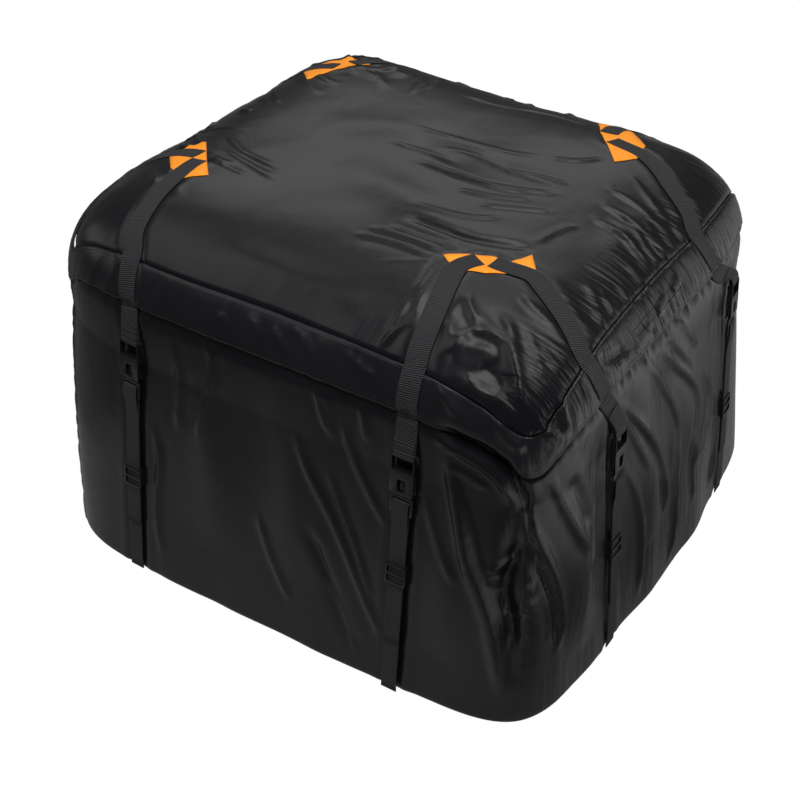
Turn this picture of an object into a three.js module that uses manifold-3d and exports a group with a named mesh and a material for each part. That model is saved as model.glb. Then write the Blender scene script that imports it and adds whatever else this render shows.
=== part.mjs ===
// Soft roof cargo bag, packed full: a zipped lid under a storm flap, eight
// straps with side-release buckles, and four corner patches on the crown.
// Millimetres, +Z up, the front face looks along -Y and the base rests on z = 0.
import * as THREE from 'three';
import Module from 'manifold-3d';

const wasm = await Module();
wasm.setup();
const { Manifold, CrossSection } = wasm;

// Overall size of the packed bag
const HEIGHT = 570;
const CROWN_DEPTH = 192;
const SHOULDER = HEIGHT - CROWN_DEPTH;
const BASE = { front: 463, back: 438, left: 416, right: 481 };
const SHOULDER_HALF = { front: 428, back: 463, left: 481, right: 451 };

// Roundness of the packed bag: a higher power is a squarer section
const CORNER_POWER = { frontRight: 10, backRight: 4.2, backLeft: 10, frontLeft: 4 };
const BASE_POWER = 7.2;
const CROWN_PLAN_POWER = 3.44;
const CROWN_POWER = 3.9;
const CORNER_LIFT = 35;
const LIFT_REACH = 470;
const FOOT_ROUND = 5;

// Lid seam, zip and storm flap, as heights at the middle of a face
const SEAM_DROP = 46;
const SEAM_HEIGHT = HEIGHT - SEAM_DROP;
const FLAP_DEPTH = 52;
const FLAP_EDGE = SEAM_HEIGHT - FLAP_DEPTH;
const SEAM_DIP = 36;
const EDGE_DIP = 40;
const DIP_POWER = 20;
const FLAP_THICK = 2.2;
const FLAP_PUCKER = 3;
const ZIP_DROP = 24;
const ZIP_HEIGHT = SEAM_HEIGHT - ZIP_DROP;
const ZIP_POCKET = 16;
const ZIP_POCKET_DEPTH = 10;
const ZIP_WIDTH = 9;
const ZIP_THICK = 3;
const SLIDER = { length: 13, wall: 1.3, post: 1.2, eye: 1.5, at: 101, spacing: 14.5 };
const PULL = { length: 27, width: 8 };
const CROWN_EDGE = 0.86;

// Straps: where they cross the faces and where the patches sit on the crown
const STRAP_LINES = { left: -227, right: 250, front: -205, back: 229 };
const STRAP_WIDTH = 32;
const WEBBING_THICK = 1.8;
const LOWER_WIDTH = 26;
const PATCH_REACH = 34;
const EASE_REACH = 42;
const PATCH_THICK = 1.2;
const PATCH_SHIFT = {
  frontRight: [-42, 47], backRight: [-72, 72], backLeft: [-111, 42], frontLeft: [-88, 83],
};
const SHIFT_REACH = 210;
const GAP = 0.3;
const ZIP_CLEAR = 0.5;

// Buckle halves, keepers and tails
const BUCKLE_WIDTH = 38;
const FEMALE_LENGTH = 62;
const FEMALE_BACK = 1.2;
const FEMALE_THICK = 9.4;
const SHELL_WALL = 2;
const MALE_THICK = 3.5;
const MALE_LENGTH = 36;
const MALE_INSET = 3;
const BAR = 3.5;
const TURN_REACH = BAR / 2 + 0.6 + WEBBING_THICK / 2;
const PRONG_LENGTH = 27;
const KEEPER_LENGTH = 34;
const KEEPER_WALL = 1.6;
const KEEPER_BACK = 0.5;
const KEEPER_CLEAR = 0.5;
const HEM_LENGTH = 14;
const STRAP_SET = [
  { name: 'front_left', face: 'front', line: 'left', buckle: FLAP_EDGE - 120, keeper: 175, tail: 90 },
  { name: 'front_right', face: 'front', line: 'right', buckle: FLAP_EDGE - 122, keeper: 213, tail: 92 },
  { name: 'right_front', face: 'right', line: 'front', buckle: FLAP_EDGE - 142, keeper: 190, tail: 88 },
  { name: 'right_back', face: 'right', line: 'back', buckle: FLAP_EDGE - 120, keeper: 178, tail: 90 },
  { name: 'back_right', face: 'back', line: 'right', buckle: FLAP_EDGE - 122, keeper: 200, tail: 90 },
  { name: 'back_left', face: 'back', line: 'left', buckle: FLAP_EDGE - 122, keeper: 200, tail: 90 },
  { name: 'left_back', face: 'left', line: 'back', buckle: FLAP_EDGE - 122, keeper: 200, tail: 90 },
  { name: 'left_front', face: 'left', line: 'front', buckle: FLAP_EDGE - 122, keeper: 200, tail: 90 },
];

// Folds that the packed load presses into the walls: place along the face, upper end
// below the flap's edge, lower end, half width, depth and sideways drift from top to foot
const FOLDS = [
  { face: 'right', at: -330, below: 42, foot: 60, width: 32, depth: 12, drift: 46 },
  { face: 'right', at: -110, below: 17, foot: 110, width: 36, depth: 12, drift: 40 },
  { face: 'right', at: 30, below: 17, foot: 150, width: 34, depth: 11, drift: 52 },
  { face: 'front', at: 345, below: 42, foot: 90, width: 32, depth: 10, drift: -20 },
  { face: 'front', at: 90, below: 32, foot: 120, width: 46, depth: 8, drift: -30 },
  { face: 'front', at: -90, below: 42, foot: 100, width: 46, depth: 8, drift: 24 },
  { face: 'back', at: 60, below: 32, foot: 120, width: 48, depth: 6, drift: 22 },
  { face: 'left', at: 40, below: 32, foot: 120, width: 48, depth: 6, drift: -22 },
];

// Broad ridges over the crown, from one point of the plan to another
const RIDGES = [
  { from: [150, -130], to: [-120, -20], width: 44, rise: 6 },
  { from: [150, 170], to: [-60, 40], width: 46, rise: 5 },
  { from: [-150, -330], to: [120, -345], width: 34, rise: 6 },
  { from: [345, -90], to: [350, 120], width: 34, rise: 6 },
  { from: [-240, 60], to: [-60, 150], width: 44, rise: 4 },
];

// Materials
const material = (color, roughness, metalness = 0) =>
  new THREE.MeshStandardMaterial({ color, roughness, metalness });
const CLOTH = material(0x2a2c31, 0.52);
const FLAP_CLOTH = material(0x2e3035, 0.5);
const WEBBING = material(0x17181a, 0.8);
const PATCH = material(0xff9a20, 0.7);
const PLASTIC = material(0x121316, 0.42);
const ZIP = material(0x1b1c1f, 0.6);

const FACES = {
  front: { out: [0, -1], side: [1, 0], ahead: 'right', behind: 'left' },
  right: { out: [1, 0], side: [0, 1], ahead: 'back', behind: 'front' },
  back: { out: [0, 1], side: [-1, 0], ahead: 'left', behind: 'right' },
  left: { out: [-1, 0], side: [0, -1], ahead: 'front', behind: 'back' },
};
const FACE_ORDER = ['front', 'right', 'back', 'left'];
const CORNER_NAMES = {
  'front right': 'frontRight', 'right front': 'frontRight',
  'right back': 'backRight', 'back right': 'backRight',
  'back left': 'backLeft', 'left back': 'backLeft',
  'left front': 'frontLeft', 'front left': 'frontLeft',
};

const vec = (x, y, z) => new THREE.Vector3(x, y, z);
const mix = (a, b, t) => a + (b - a) * t;
const clamp01 = (t) => Math.min(1, Math.max(0, t));
const steps = (from, to, count) =>
  Array.from({ length: count + 1 }, (item, k) => mix(from, to, k / count));

// Half size of the section toward one side, at a height below the shoulder
const halfSize = (side, height) =>
  mix(BASE[side], SHOULDER_HALF[side], clamp01(height / SHOULDER));

// Power of the section at one corner; shrink is 1 at the wall, 0 at the crown's middle
function sectionPower(corner, height, shrink) {
  const wall = mix(BASE_POWER, CORNER_POWER[corner], clamp01(height / SHOULDER));
  return mix(wall, CROWN_PLAN_POWER, Math.sqrt(1 - shrink));
}

const cornerLift = (x, y) => CORNER_LIFT * Math.min(1, Math.abs(x * y) / LIFT_REACH ** 2) ** 1.5;

// Share of the crown's height and the section's shrink are tied by one power
const shrinkAt = (rise) => (1 - Math.min(1, rise) ** CROWN_POWER) ** (1 / CROWN_POWER);
const riseAt = (shrink) => (1 - Math.min(1, shrink) ** CROWN_POWER) ** (1 / CROWN_POWER);

// How near a point is to a corner of the section: 1 on the corner, 0 mid-face
const cornerness = (u, v) => (2 * u * v / (u * u + v * v)) ** DIP_POWER;

// Point of the smooth body on a face. spot is {along} for a line at a fixed
// place or {corner, share} for a column between the outer line and a corner.
function bodyPoint(faceName, spot, row) {
  const face = FACES[faceName];
  let height = row.height;
  let point;
  for (let pass = 0; pass < 5; pass += 1) {
    const wallHeight = Math.min(height, SHOULDER);
    const lift = point ? cornerLift(point.x, point.y) : 0;
    const rise = clamp01((height - SHOULDER) / (HEIGHT - SHOULDER + lift));
    const shrink = row.shrink ?? shrinkAt(rise);
    const ahead = spot.along > 0 || spot.toward === 'ahead';
    const neighbour = ahead ? face.ahead : face.behind;
    const power = sectionPower(CORNER_NAMES[`${faceName} ${neighbour}`], wallHeight, shrink);
    const a = halfSize(neighbour, wallHeight) * shrink;
    const b = halfSize(faceName, wallHeight) * shrink;
    const line = spot.along ?? spot.from;
    let u = Math.min(0.999, Math.abs(line) / a);
    let v = (1 - u ** power) ** (1 / power);
    if (spot.along === undefined) {
      const angle = mix(Math.atan2(u, v), Math.PI / 4, spot.share);
      const reach = (Math.sin(angle) ** power + Math.cos(angle) ** power) ** (-1 / power);
      u = Math.sin(angle) * reach;
      v = Math.cos(angle) * reach;
    }
    const along = (ahead ? 1 : -1) * u * a;
    const depth = v * b;
    height = row.shrink === undefined
      ? row.height - (row.dip ?? 0) * cornerness(u, v)
      : SHOULDER + (HEIGHT - SHOULDER + lift) * riseAt(shrink);
    point = vec(face.side[0] * along + face.out[0] * depth,
      face.side[1] * along + face.out[1] * depth, height);
  }
  return point;
}

// Height of the crown over a point of the plan
function crownHeight(x, y) {
  const sideX = x > 0 ? 'right' : 'left';
  const sideY = y > 0 ? 'back' : 'front';
  const corner = CORNER_NAMES[`${sideY} ${sideX}`];
  let shrink = 0.5;
  for (let pass = 0; pass < 40; pass += 1) {
    const power = sectionPower(corner, SHOULDER, shrink);
    const u = Math.abs(x) / SHOULDER_HALF[sideX];
    const v = Math.abs(y) / SHOULDER_HALF[sideY];
    shrink = mix(shrink, Math.min(0.999, (u ** power + v ** power) ** (1 / power)), 0.5);
  }
  return SHOULDER + (HEIGHT - SHOULDER + cornerLift(x, y)) * riseAt(shrink);
}

// Outward push of the folds at a point of a face
function foldDepth(faceName, along, height) {
  let push = 0;
  for (const fold of FOLDS) {
    const top = FLAP_EDGE - fold.below;
    if (fold.face !== faceName || height > top || height < fold.foot) continue;
    const t = (top - height) / (top - fold.foot);
    const off = (along - fold.at - fold.drift * t) / fold.width;
    push += fold.depth * Math.sin(Math.PI * t) * Math.exp(-off * off);
  }
  return push;
}

// Rise of the crown's ridges over a point of the plan
function ridgeRise(x, y) {
  let rise = 0;
  for (const ridge of RIDGES) {
    const [dx, dy] = [ridge.to[0] - ridge.from[0], ridge.to[1] - ridge.from[1]];
    const length = Math.hypot(dx, dy);
    const t = ((x - ridge.from[0]) * dx + (y - ridge.from[1]) * dy) / length ** 2;
    const off = ((x - ridge.from[0]) * dy - (y - ridge.from[1]) * dx) / length / ridge.width;
    if (t > 0 && t < 1) rise += ridge.rise * Math.sin(Math.PI * t) * Math.exp(-off * off);
  }
  return rise;
}

// Lines that every face and the crown share, so straps lie on whole columns
function faceLines(low, high, between) {
  const half = STRAP_WIDTH / 2;
  const reach = half + PATCH_REACH;
  return [
    low - reach - EASE_REACH, low - reach, low - half, low + half,
    ...steps(low + reach, high - reach, between),
    high - half, high + half, high + reach, high + reach + EASE_REACH,
  ];
}
const LINES_BETWEEN = 7;
const CORNER_STEPS = 3;
const X_LINES = faceLines(STRAP_LINES.left, STRAP_LINES.right, LINES_BETWEEN);
const Y_LINES = faceLines(STRAP_LINES.front, STRAP_LINES.back, LINES_BETWEEN);

// Rows up the wall; the last one is the edge of the crown
const WALL_STEPS = 8;
const ROWS = [
  { height: 0, inset: FOOT_ROUND },
  { height: FOOT_ROUND },
  ...steps(0, SHOULDER, WALL_STEPS).slice(1).map((height) => ({ height })),
  { height: mix(SHOULDER, FLAP_EDGE, 0.4), dip: 0.3 * EDGE_DIP },
  { height: mix(SHOULDER, FLAP_EDGE, 0.72), dip: 0.7 * EDGE_DIP, name: 'brow' },
  { height: FLAP_EDGE, dip: EDGE_DIP, name: 'flapEdge' },
  { height: ZIP_HEIGHT - ZIP_POCKET / 2, dip: SEAM_DIP, name: 'pocketLow' },
  { height: ZIP_HEIGHT - ZIP_POCKET / 2, dip: SEAM_DIP, inset: ZIP_POCKET_DEPTH, name: 'floorLow' },
  { height: ZIP_HEIGHT + ZIP_POCKET / 2, dip: SEAM_DIP, inset: ZIP_POCKET_DEPTH, name: 'floorHigh' },
  { height: ZIP_HEIGHT + ZIP_POCKET / 2, dip: SEAM_DIP, name: 'pocketHigh' },
  { height: SEAM_HEIGHT, dip: SEAM_DIP, name: 'seam' },
  { height: SEAM_HEIGHT, shrink: CROWN_EDGE, name: 'crownEdge' },
];
const rowIndex = (name) => ROWS.findIndex((row) => row.name === name);

// Columns around the bag, starting at the front face's first line
function ringSpots() {
  const spots = [];
  for (const faceName of FACE_ORDER) {
    const face = FACES[faceName];
    const lines = face.side[0] !== 0 ? X_LINES : Y_LINES;
    const sign = face.side[0] + face.side[1];
    const alongs = lines.map((line) => line * sign).sort((p, q) => p - q);
    const first = alongs[0];
    const last = alongs[alongs.length - 1];
    for (let k = CORNER_STEPS - 1; k > 0; k -= 1) {
      spots.push({ face: faceName, from: first, toward: 'behind', share: k / CORNER_STEPS });
    }
    alongs.forEach((along) => spots.push({ face: faceName, along }));
    for (let k = 1; k <= CORNER_STEPS; k += 1) {
      spots.push({ face: faceName, from: last, toward: 'ahead', share: k / CORNER_STEPS });
    }
  }
  return spots;
}
const RING = ringSpots();

// Smooth grid of the wall and its outward normals
const smoothWall = ROWS.map((row) => RING.map((spot) => bodyPoint(spot.face, spot, row)));
function wallNormal(r, c) {
  const below = smoothWall[Math.max(1, r - 1)][c];
  const above = smoothWall[Math.min(ROWS.length - 1, r + 1)][c];
  const before = smoothWall[r][(c + RING.length - 1) % RING.length];
  const after = smoothWall[r][(c + 1) % RING.length];
  const up = above.clone().sub(below);
  return after.clone().sub(before).cross(up).normalize();
}
const wallNormals = ROWS.map((row, r) => RING.map((spot, c) => wallNormal(r, c)));
const wall = ROWS.map((row, r) => RING.map((spot, c) => {
  const smooth = smoothWall[r][c];
  const face = FACES[spot.face];
  const along = smooth.x * face.side[0] + smooth.y * face.side[1];
  const push = foldDepth(spot.face, along, smooth.z) - (row.inset ?? 0);
  const point = smooth.clone().addScaledVector(wallNormals[r][c], push);
  if (r < 2) point.z = row.height;
  return point;
}));

// The crown's plan is drawn in toward the patches, which the load has shifted
const PATCH_CORNERS = {
  frontRight: { label: 'front_right', x: STRAP_LINES.right, y: STRAP_LINES.front, sx: 1, sy: -1 },
  backRight: { label: 'back_right', x: STRAP_LINES.right, y: STRAP_LINES.back, sx: 1, sy: 1 },
  backLeft: { label: 'back_left', x: STRAP_LINES.left, y: STRAP_LINES.back, sx: -1, sy: 1 },
  frontLeft: { label: 'front_left', x: STRAP_LINES.left, y: STRAP_LINES.front, sx: -1, sy: -1 },
};
function crownPoint(x, y) {
  let shiftX = 0;
  let shiftY = 0;
  for (const [name, corner] of Object.entries(PATCH_CORNERS)) {
    const far = Math.min(1, Math.hypot(x - corner.x, y - corner.y) / SHIFT_REACH);
    const pull = (1 - far * far) ** 2;
    shiftX += PATCH_SHIFT[name][0] * pull;
    shiftY += PATCH_SHIFT[name][1] * pull;
  }
  const [px, py] = [x + shiftX, y + shiftY];
  return vec(px, py, crownHeight(px, py) + ridgeRise(px, py));
}
const crown = Y_LINES.map((y) => X_LINES.map((x) => crownPoint(x, y)));
function crownNormal(j, i) {
  const pick = (jj, ii) => crown[Math.min(crown.length - 1, Math.max(0, jj))][
    Math.min(X_LINES.length - 1, Math.max(0, ii))];
  const alongX = pick(j, i + 1).clone().sub(pick(j, i - 1));
  const alongY = pick(j + 1, i).clone().sub(pick(j - 1, i));
  return alongX.cross(alongY).normalize();
}
const crownNormals = crown.map((line, j) => line.map((point, i) => crownNormal(j, i)));

// Triangle list with shared corners
class Skin {
  constructor() {
    this.points = [];
    this.index = [];
    this.known = new Map();
  }

  id(point) {
    const key = [point.x, point.y, point.z].map((n) => n.toFixed(4)).join(' ');
    if (!this.known.has(key)) {
      this.known.set(key, this.points.length);
      this.points.push(point);
    }
    return this.known.get(key);
  }

  triangle(a, b, c) {
    const ids = [this.id(a), this.id(b), this.id(c)];
    if (new Set(ids).size === 3) this.index.push(...ids);
  }

  quad(a, b, c, d) {
    this.triangle(a, b, c);
    this.triangle(a, c, d);
  }

  fan(center, rim) {
    for (let k = 0; k + 1 < rim.length; k += 1) this.triangle(center, rim[k], rim[k + 1]);
  }

  geometry() {
    const geometry = new THREE.BufferGeometry();
    const flat = this.points.flatMap((p) => [p.x, p.y, p.z]);
    geometry.setAttribute('position', new THREE.Float32BufferAttribute(flat, 3));
    geometry.setIndex(this.index);
    geometry.computeVertexNormals();
    return geometry;
  }
}

const bag = new THREE.Group();
bag.name = 'roof_cargo_bag';
function addMesh(name, geometry, look) {
  const mesh = new THREE.Mesh(geometry, look);
  mesh.name = name;
  bag.add(mesh);
}

// Column number of the ring at a line of a face
const columnOf = (faceName, along) =>
  RING.findIndex((spot) => spot.face === faceName && Math.abs((spot.along ?? 1e9) - along) < 1e-6);

// Body: wall grid, crown grid, rounded crown corners and the flat base
function buildBody() {
  const skin = new Skin();
  const count = RING.length;
  for (let r = 0; r + 1 < ROWS.length; r += 1) {
    for (let c = 0; c < count; c += 1) {
      const next = (c + 1) % count;
      skin.quad(wall[r][c], wall[r][next], wall[r + 1][next], wall[r + 1][c]);
    }
  }
  const foot = wall[0];
  const middle = vec(0, 0, 0);
  skin.fan(middle, [...foot, foot[0]].reverse());
  const last = ROWS.length - 1;
  const lastX = X_LINES.length - 1;
  const lastY = Y_LINES.length - 1;
  for (let j = 0; j < lastY; j += 1) {
    for (let i = 0; i < lastX; i += 1) {
      const [a, b, c, d] = [crown[j][i], crown[j][i + 1], crown[j + 1][i + 1], crown[j + 1][i]];
      const rising = (i < lastX / 2) !== (j < lastY / 2);
      if (rising) skin.quad(a, b, c, d);
      else skin.quad(b, c, d, a);
    }
  }
  const edge = wall[last];
  const rim = {
    front: X_LINES.map((line, i) => crown[0][i]),
    right: Y_LINES.map((line, j) => crown[j][lastX]),
    back: X_LINES.map((line, i) => crown[lastY][lastX - i]),
    left: Y_LINES.map((line, j) => crown[lastY - j][0]),
  };
  for (const faceName of FACE_ORDER) {
    const inner = rim[faceName];
    const start = RING.findIndex((spot) => spot.face === faceName && spot.along !== undefined);
    for (let k = 0; k + 1 < inner.length; k += 1) {
      skin.quad(edge[start + k], edge[start + k + 1], inner[k + 1], inner[k]);
    }
    const apex = inner[inner.length - 1];
    const arc = [];
    for (let k = 0; k <= 2 * CORNER_STEPS; k += 1) {
      arc.push(edge[(start + inner.length - 1 + k) % count]);
    }
    skin.fan(apex, arc);
  }
  addMesh('bag_body', skin.geometry(), CLOTH);
}

// A strip from station to station, each station a ring of points, closed at both ends
function stripSkin(stations) {
  const skin = new Skin();
  for (let k = 0; k + 1 < stations.length; k += 1) {
    const p = stations[k];
    const q = stations[k + 1];
    for (let s = 0; s < p.length; s += 1) {
      const t = (s + 1) % p.length;
      skin.quad(p[s], q[s], q[t], p[t]);
    }
  }
  const first = stations[0];
  const end = stations[stations.length - 1];
  for (let s = 1; s + 1 < first.length; s += 1) {
    skin.triangle(first[0], first[s], first[s + 1]);
    skin.triangle(end[0], end[s + 1], end[s]);
  }
  return skin;
}

// A layer lying on the wall grid: rows go up, columns run around the bag
function layerSkin(inner, outer) {
  const skin = new Skin();
  const count = inner[0].length;
  const top = inner.length - 1;
  for (let c = 0; c < count; c += 1) {
    const next = (c + 1) % count;
    for (let r = 0; r < top; r += 1) {
      skin.quad(outer[r][c], outer[r][next], outer[r + 1][next], outer[r + 1][c]);
      skin.quad(inner[r][c], inner[r + 1][c], inner[r + 1][next], inner[r][next]);
    }
    skin.quad(inner[0][c], inner[0][next], outer[0][next], outer[0][c]);
    skin.quad(outer[top][c], outer[top][next], inner[top][next], inner[top][c]);
  }
  return skin;
}

// Storm flap sewn on along the lid seam, hanging over the zip
const FLAP_ROWS = ['flapEdge', 'pocketLow', 'pocketHigh', 'seam'].map(rowIndex);

// Straps hold the flap's edge down; between them it puckers outward
function pucker(c) {
  const spot = RING[c];
  if (spot.along === undefined) return FLAP_PUCKER / 2;
  const face = FACES[spot.face];
  const sign = face.side[0] + face.side[1];
  const lines = face.side[0] !== 0
    ? [STRAP_LINES.left, STRAP_LINES.right] : [STRAP_LINES.front, STRAP_LINES.back];
  const near = Math.min(...lines.map((line) => Math.abs(spot.along - line * sign)));
  return near < STRAP_WIDTH ? 0 : FLAP_PUCKER * (0.5 + 0.5 * Math.sin(c * 2.4));
}
function buildFlap() {
  const level = (off) => FLAP_ROWS.map((r, k) => RING.map((spot, c) => wall[r][c].clone()
    .addScaledVector(wallNormals[r][c], off + (k === 0 ? pucker(c) : 0))));
  addMesh('storm_flap', layerSkin(level(GAP), level(GAP + FLAP_THICK)).geometry(), FLAP_CLOTH);
}

// Zip chain lying along the middle of the pocket floor behind the flap
function floorPoint(c, offset) {
  const low = wall[rowIndex('floorLow')][c];
  const rise = wall[rowIndex('floorHigh')][c].clone().sub(low);
  return low.clone().addScaledVector(rise, 0.5).addScaledVector(rise.normalize(), offset);
}
const floorNormal = (c) => wallNormals[rowIndex('floorLow')][c];
function buildZipChain() {
  const level = (off) => [-ZIP_WIDTH / 2, ZIP_WIDTH / 2].map((offset) => RING.map((spot, c) =>
    floorPoint(c, offset).addScaledVector(floorNormal(c), off)));
  addMesh('zip_chain', layerSkin(level(ZIP_CLEAR), level(ZIP_CLEAR + ZIP_THICK)).geometry(), ZIP);
}

// Frame of a solid laid on the bag: side, up and out directions at an origin
function frameMatrix({ origin, side, up, out }) {
  return new THREE.Matrix4().makeBasis(side, up, out).setPosition(origin);
}
function slabs(outline, low, high) {
  return Manifold.extrude(new CrossSection([outline], 'NonZero'), high - low).translate([0, 0, low]);
}
const boxOutline = (x0, y0, x1, y1) => [[x0, y0], [x1, y0], [x1, y1], [x0, y1]];
function fromManifold(solid, matrix) {
  const mesh = solid.getMesh();
  const geometry = new THREE.BufferGeometry();
  geometry.setAttribute('position', new THREE.Float32BufferAttribute(mesh.vertProperties, 3));
  geometry.setIndex(Array.from(mesh.triVerts));
  geometry.applyMatrix4(matrix);
  return geometry;
}

// Zip sliders meet nose to nose on the straight run of the front face
function zipFrame(x) {
  const low = columnOf('front', X_LINES.filter((line) => line <= x).pop());
  const share = (x - RING[low].along) / (RING[low + 1].along - RING[low].along);
  const spot = (c) => floorPoint(c, 0).addScaledVector(floorNormal(c), ZIP_CLEAR + ZIP_THICK);
  const origin = spot(low).lerp(spot(low + 1), share);
  const side = spot(low + 1).sub(spot(low)).normalize();
  const up = floorPoint(low, 1).sub(floorPoint(low, 0));
  const out = side.clone().cross(up).normalize();
  return { origin, side, up: out.clone().cross(side), out };
}
function sliderSolid() {
  const half = SLIDER.length / 2;
  const inside = ZIP_WIDTH / 2 + GAP;
  const lip = inside + SLIDER.wall;
  const face = GAP + SLIDER.wall;
  const solid = Manifold.union([
    slabs(boxOutline(-half, -lip, half, lip), GAP, face),
    slabs(boxOutline(-half, inside, half, lip), 1 - ZIP_THICK, face),
    slabs(boxOutline(-half, -lip, half, -inside), 1 - ZIP_THICK, face),
    slabs(boxOutline(-1, -SLIDER.post, 4, SLIDER.post), GAP, face + SLIDER.eye + 0.6),
  ]);
  return solid.subtract(slabs(boxOutline(0.6, -half, 2.4, half), face, face + SLIDER.eye));
}
function pullSolid() {
  const low = GAP + SLIDER.wall + GAP;
  const high = low + SLIDER.eye - 2 * GAP;
  const half = PULL.width / 2;
  const hole = boxOutline(2.1, -SLIDER.post - GAP, 4 + GAP, SLIDER.post + GAP);
  const tip = 0.9 + PULL.length;
  const outline = [
    [0.9, -half], [tip - 2, -half], [tip, -half + 2], [tip, half - 2], [tip - 2, half], [0.9, half],
  ];
  return slabs(outline, low, high).subtract(slabs(hole, low - 1, high + 1));
}
function buildSliders() {
  const slider = sliderSolid();
  const pull = pullSolid();
  for (const [name, sign] of [['left', -1], ['right', 1]]) {
    const frame = zipFrame(SLIDER.at + sign * SLIDER.spacing / 2);
    frame.side.multiplyScalar(sign);
    frame.up.multiplyScalar(sign);
    const matrix = frameMatrix(frame);
    addMesh(`zip_slider_${name}`, fromManifold(slider, matrix), PLASTIC);
    addMesh(`zip_pull_${name}`, fromManifold(pull, matrix), PLASTIC);
  }
}

// Corner patch: the whole triangles of the crown grid under the strap ends
function patchCells(corner) {
  const half = STRAP_WIDTH / 2;
  const xs = [-half - PATCH_REACH, -half, half, half + PATCH_REACH].map((d) => corner.x + d * corner.sx);
  const ys = [half + PATCH_REACH, half, -half, -half - PATCH_REACH].map((d) => corner.y + d * corner.sy);
  const node = (i, j) => {
    const ii = X_LINES.findIndex((line) => Math.abs(line - xs[i]) < 1e-6);
    const jj = Y_LINES.findIndex((line) => Math.abs(line - ys[j]) < 1e-6);
    return { point: crown[jj][ii], normal: crownNormals[jj][ii] };
  };
  const cells = [
    [[0, 0], [1, 0], [1, 1]], [[1, 0], [2, 1], [1, 1]], [[1, 0], [2, 0], [2, 1]],
    [[1, 1], [2, 1], [2, 2]], [[2, 0], [3, 1], [2, 1]], [[2, 1], [3, 2], [2, 2]],
    [[2, 1], [3, 1], [3, 2]], [[2, 2], [3, 2], [3, 3]],
  ];
  const rim = [[0, 0], [1, 0], [2, 0], [3, 1], [3, 2], [3, 3], [2, 2], [1, 1]];
  return { cells, rim, node, flip: corner.sx * corner.sy > 0 };
}
function buildPatches() {
  for (const corner of Object.values(PATCH_CORNERS)) {
    const { cells, rim, node, flip } = patchCells(corner);
    const skin = new Skin();
    const at = ([i, j], off) => {
      const { point, normal } = node(i, j);
      return point.clone().addScaledVector(normal, off);
    };
    const put = (a, b, c) => (flip ? skin.triangle(a, c, b) : skin.triangle(a, b, c));
    for (const [a, b, c] of cells) {
      put(at(a, GAP + PATCH_THICK), at(b, GAP + PATCH_THICK), at(c, GAP + PATCH_THICK));
      put(at(a, GAP), at(c, GAP), at(b, GAP));
    }
    rim.forEach((a, k) => {
      const b = rim[(k + 1) % rim.length];
      put(at(a, GAP), at(b, GAP), at(b, GAP + PATCH_THICK));
      put(at(a, GAP), at(b, GAP + PATCH_THICK), at(a, GAP + PATCH_THICK));
    });
    addMesh(`corner_patch_${corner.label}`, skin.geometry(), PATCH);
  }
}

// Where a strap of some width lies on the wall at a height, with its directions
function wallSpine(strap, height, width) {
  const face = FACES[strap.face];
  const along = STRAP_LINES[strap.line] * (face.side[0] + face.side[1]);
  const at = (offset, level) => bodyPoint(strap.face, { along: along + offset }, { height: level });
  const left = at(-width / 2, height);
  const right = at(width / 2, height);
  const side = right.clone().sub(left).normalize();
  const up = at(0, height + 5).sub(at(0, height - 5));
  const out = side.clone().cross(up).normalize();
  return { left, right, middle: left.clone().lerp(right, 0.5), side, out };
}

// Straight frame for hardware on the wall, standing clear of the wall's bulge
function strapFrame(strap, height, low, high) {
  const here = wallSpine(strap, height, BUCKLE_WIDTH);
  const top = wallSpine(strap, height + high, BUCKLE_WIDTH);
  const foot = wallSpine(strap, height + low, BUCKLE_WIDTH);
  const out = here.side.clone().cross(top.middle.clone().sub(foot.middle)).normalize();
  const up = out.clone().cross(here.side);
  let standoff = 0;
  for (let step = 0; step <= 12; step += 1) {
    const spine = wallSpine(strap, height + mix(low, high, step / 12), BUCKLE_WIDTH);
    for (const point of [spine.left, spine.right]) {
      standoff = Math.max(standoff, point.clone().sub(here.middle).dot(out));
    }
  }
  const origin = here.middle.clone().addScaledVector(out, standoff);
  return { origin, side: here.side, up, out };
}
const strapPoint = (frame, side, up, out) => frame.origin.clone()
  .addScaledVector(frame.side, side).addScaledVector(frame.up, up).addScaledVector(frame.out, out);

// Stations of a webbing run given as a centre path (up, out) in a strap frame
function webbingStations(frame, path, width) {
  const half = width / 2;
  return path.map(([up, out], k) => {
    const before = path[Math.max(0, k - 1)];
    const after = path[Math.min(path.length - 1, k + 1)];
    const run = new THREE.Vector2(after[0] - before[0], after[1] - before[1]).normalize();
    const [nu, nw] = [run.y * WEBBING_THICK / 2, -run.x * WEBBING_THICK / 2];
    return [
      strapPoint(frame, -half, up + nu, out + nw), strapPoint(frame, half, up + nu, out + nw),
      strapPoint(frame, half, up - nu, out - nw), strapPoint(frame, -half, up - nu, out - nw),
    ];
  });
}
// Station of a webbing lying along the wall, its inner side raised off it
function wallStation(strap, height, raise, width, heading, thick = WEBBING_THICK) {
  const { left, right, out } = wallSpine(strap, height, width);
  const at = (point, off) => point.clone().addScaledVector(out, off);
  const [low, high] = heading === 'down' ? [raise, raise + thick] : [raise + thick, raise];
  return [at(left, high), at(right, high), at(right, low), at(left, low)];
}

// Half turn of a webbing around a square bar, from its back to its front
function turn(barUp, barOut, way) {
  const [face, reach] = [BAR / 2, TURN_REACH];
  return [[0, -reach], [face, -reach], [reach, -face], [reach, face], [face, reach], [0, reach]]
    .map(([up, out]) => [barUp + way * up, barOut + out]);
}

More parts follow.
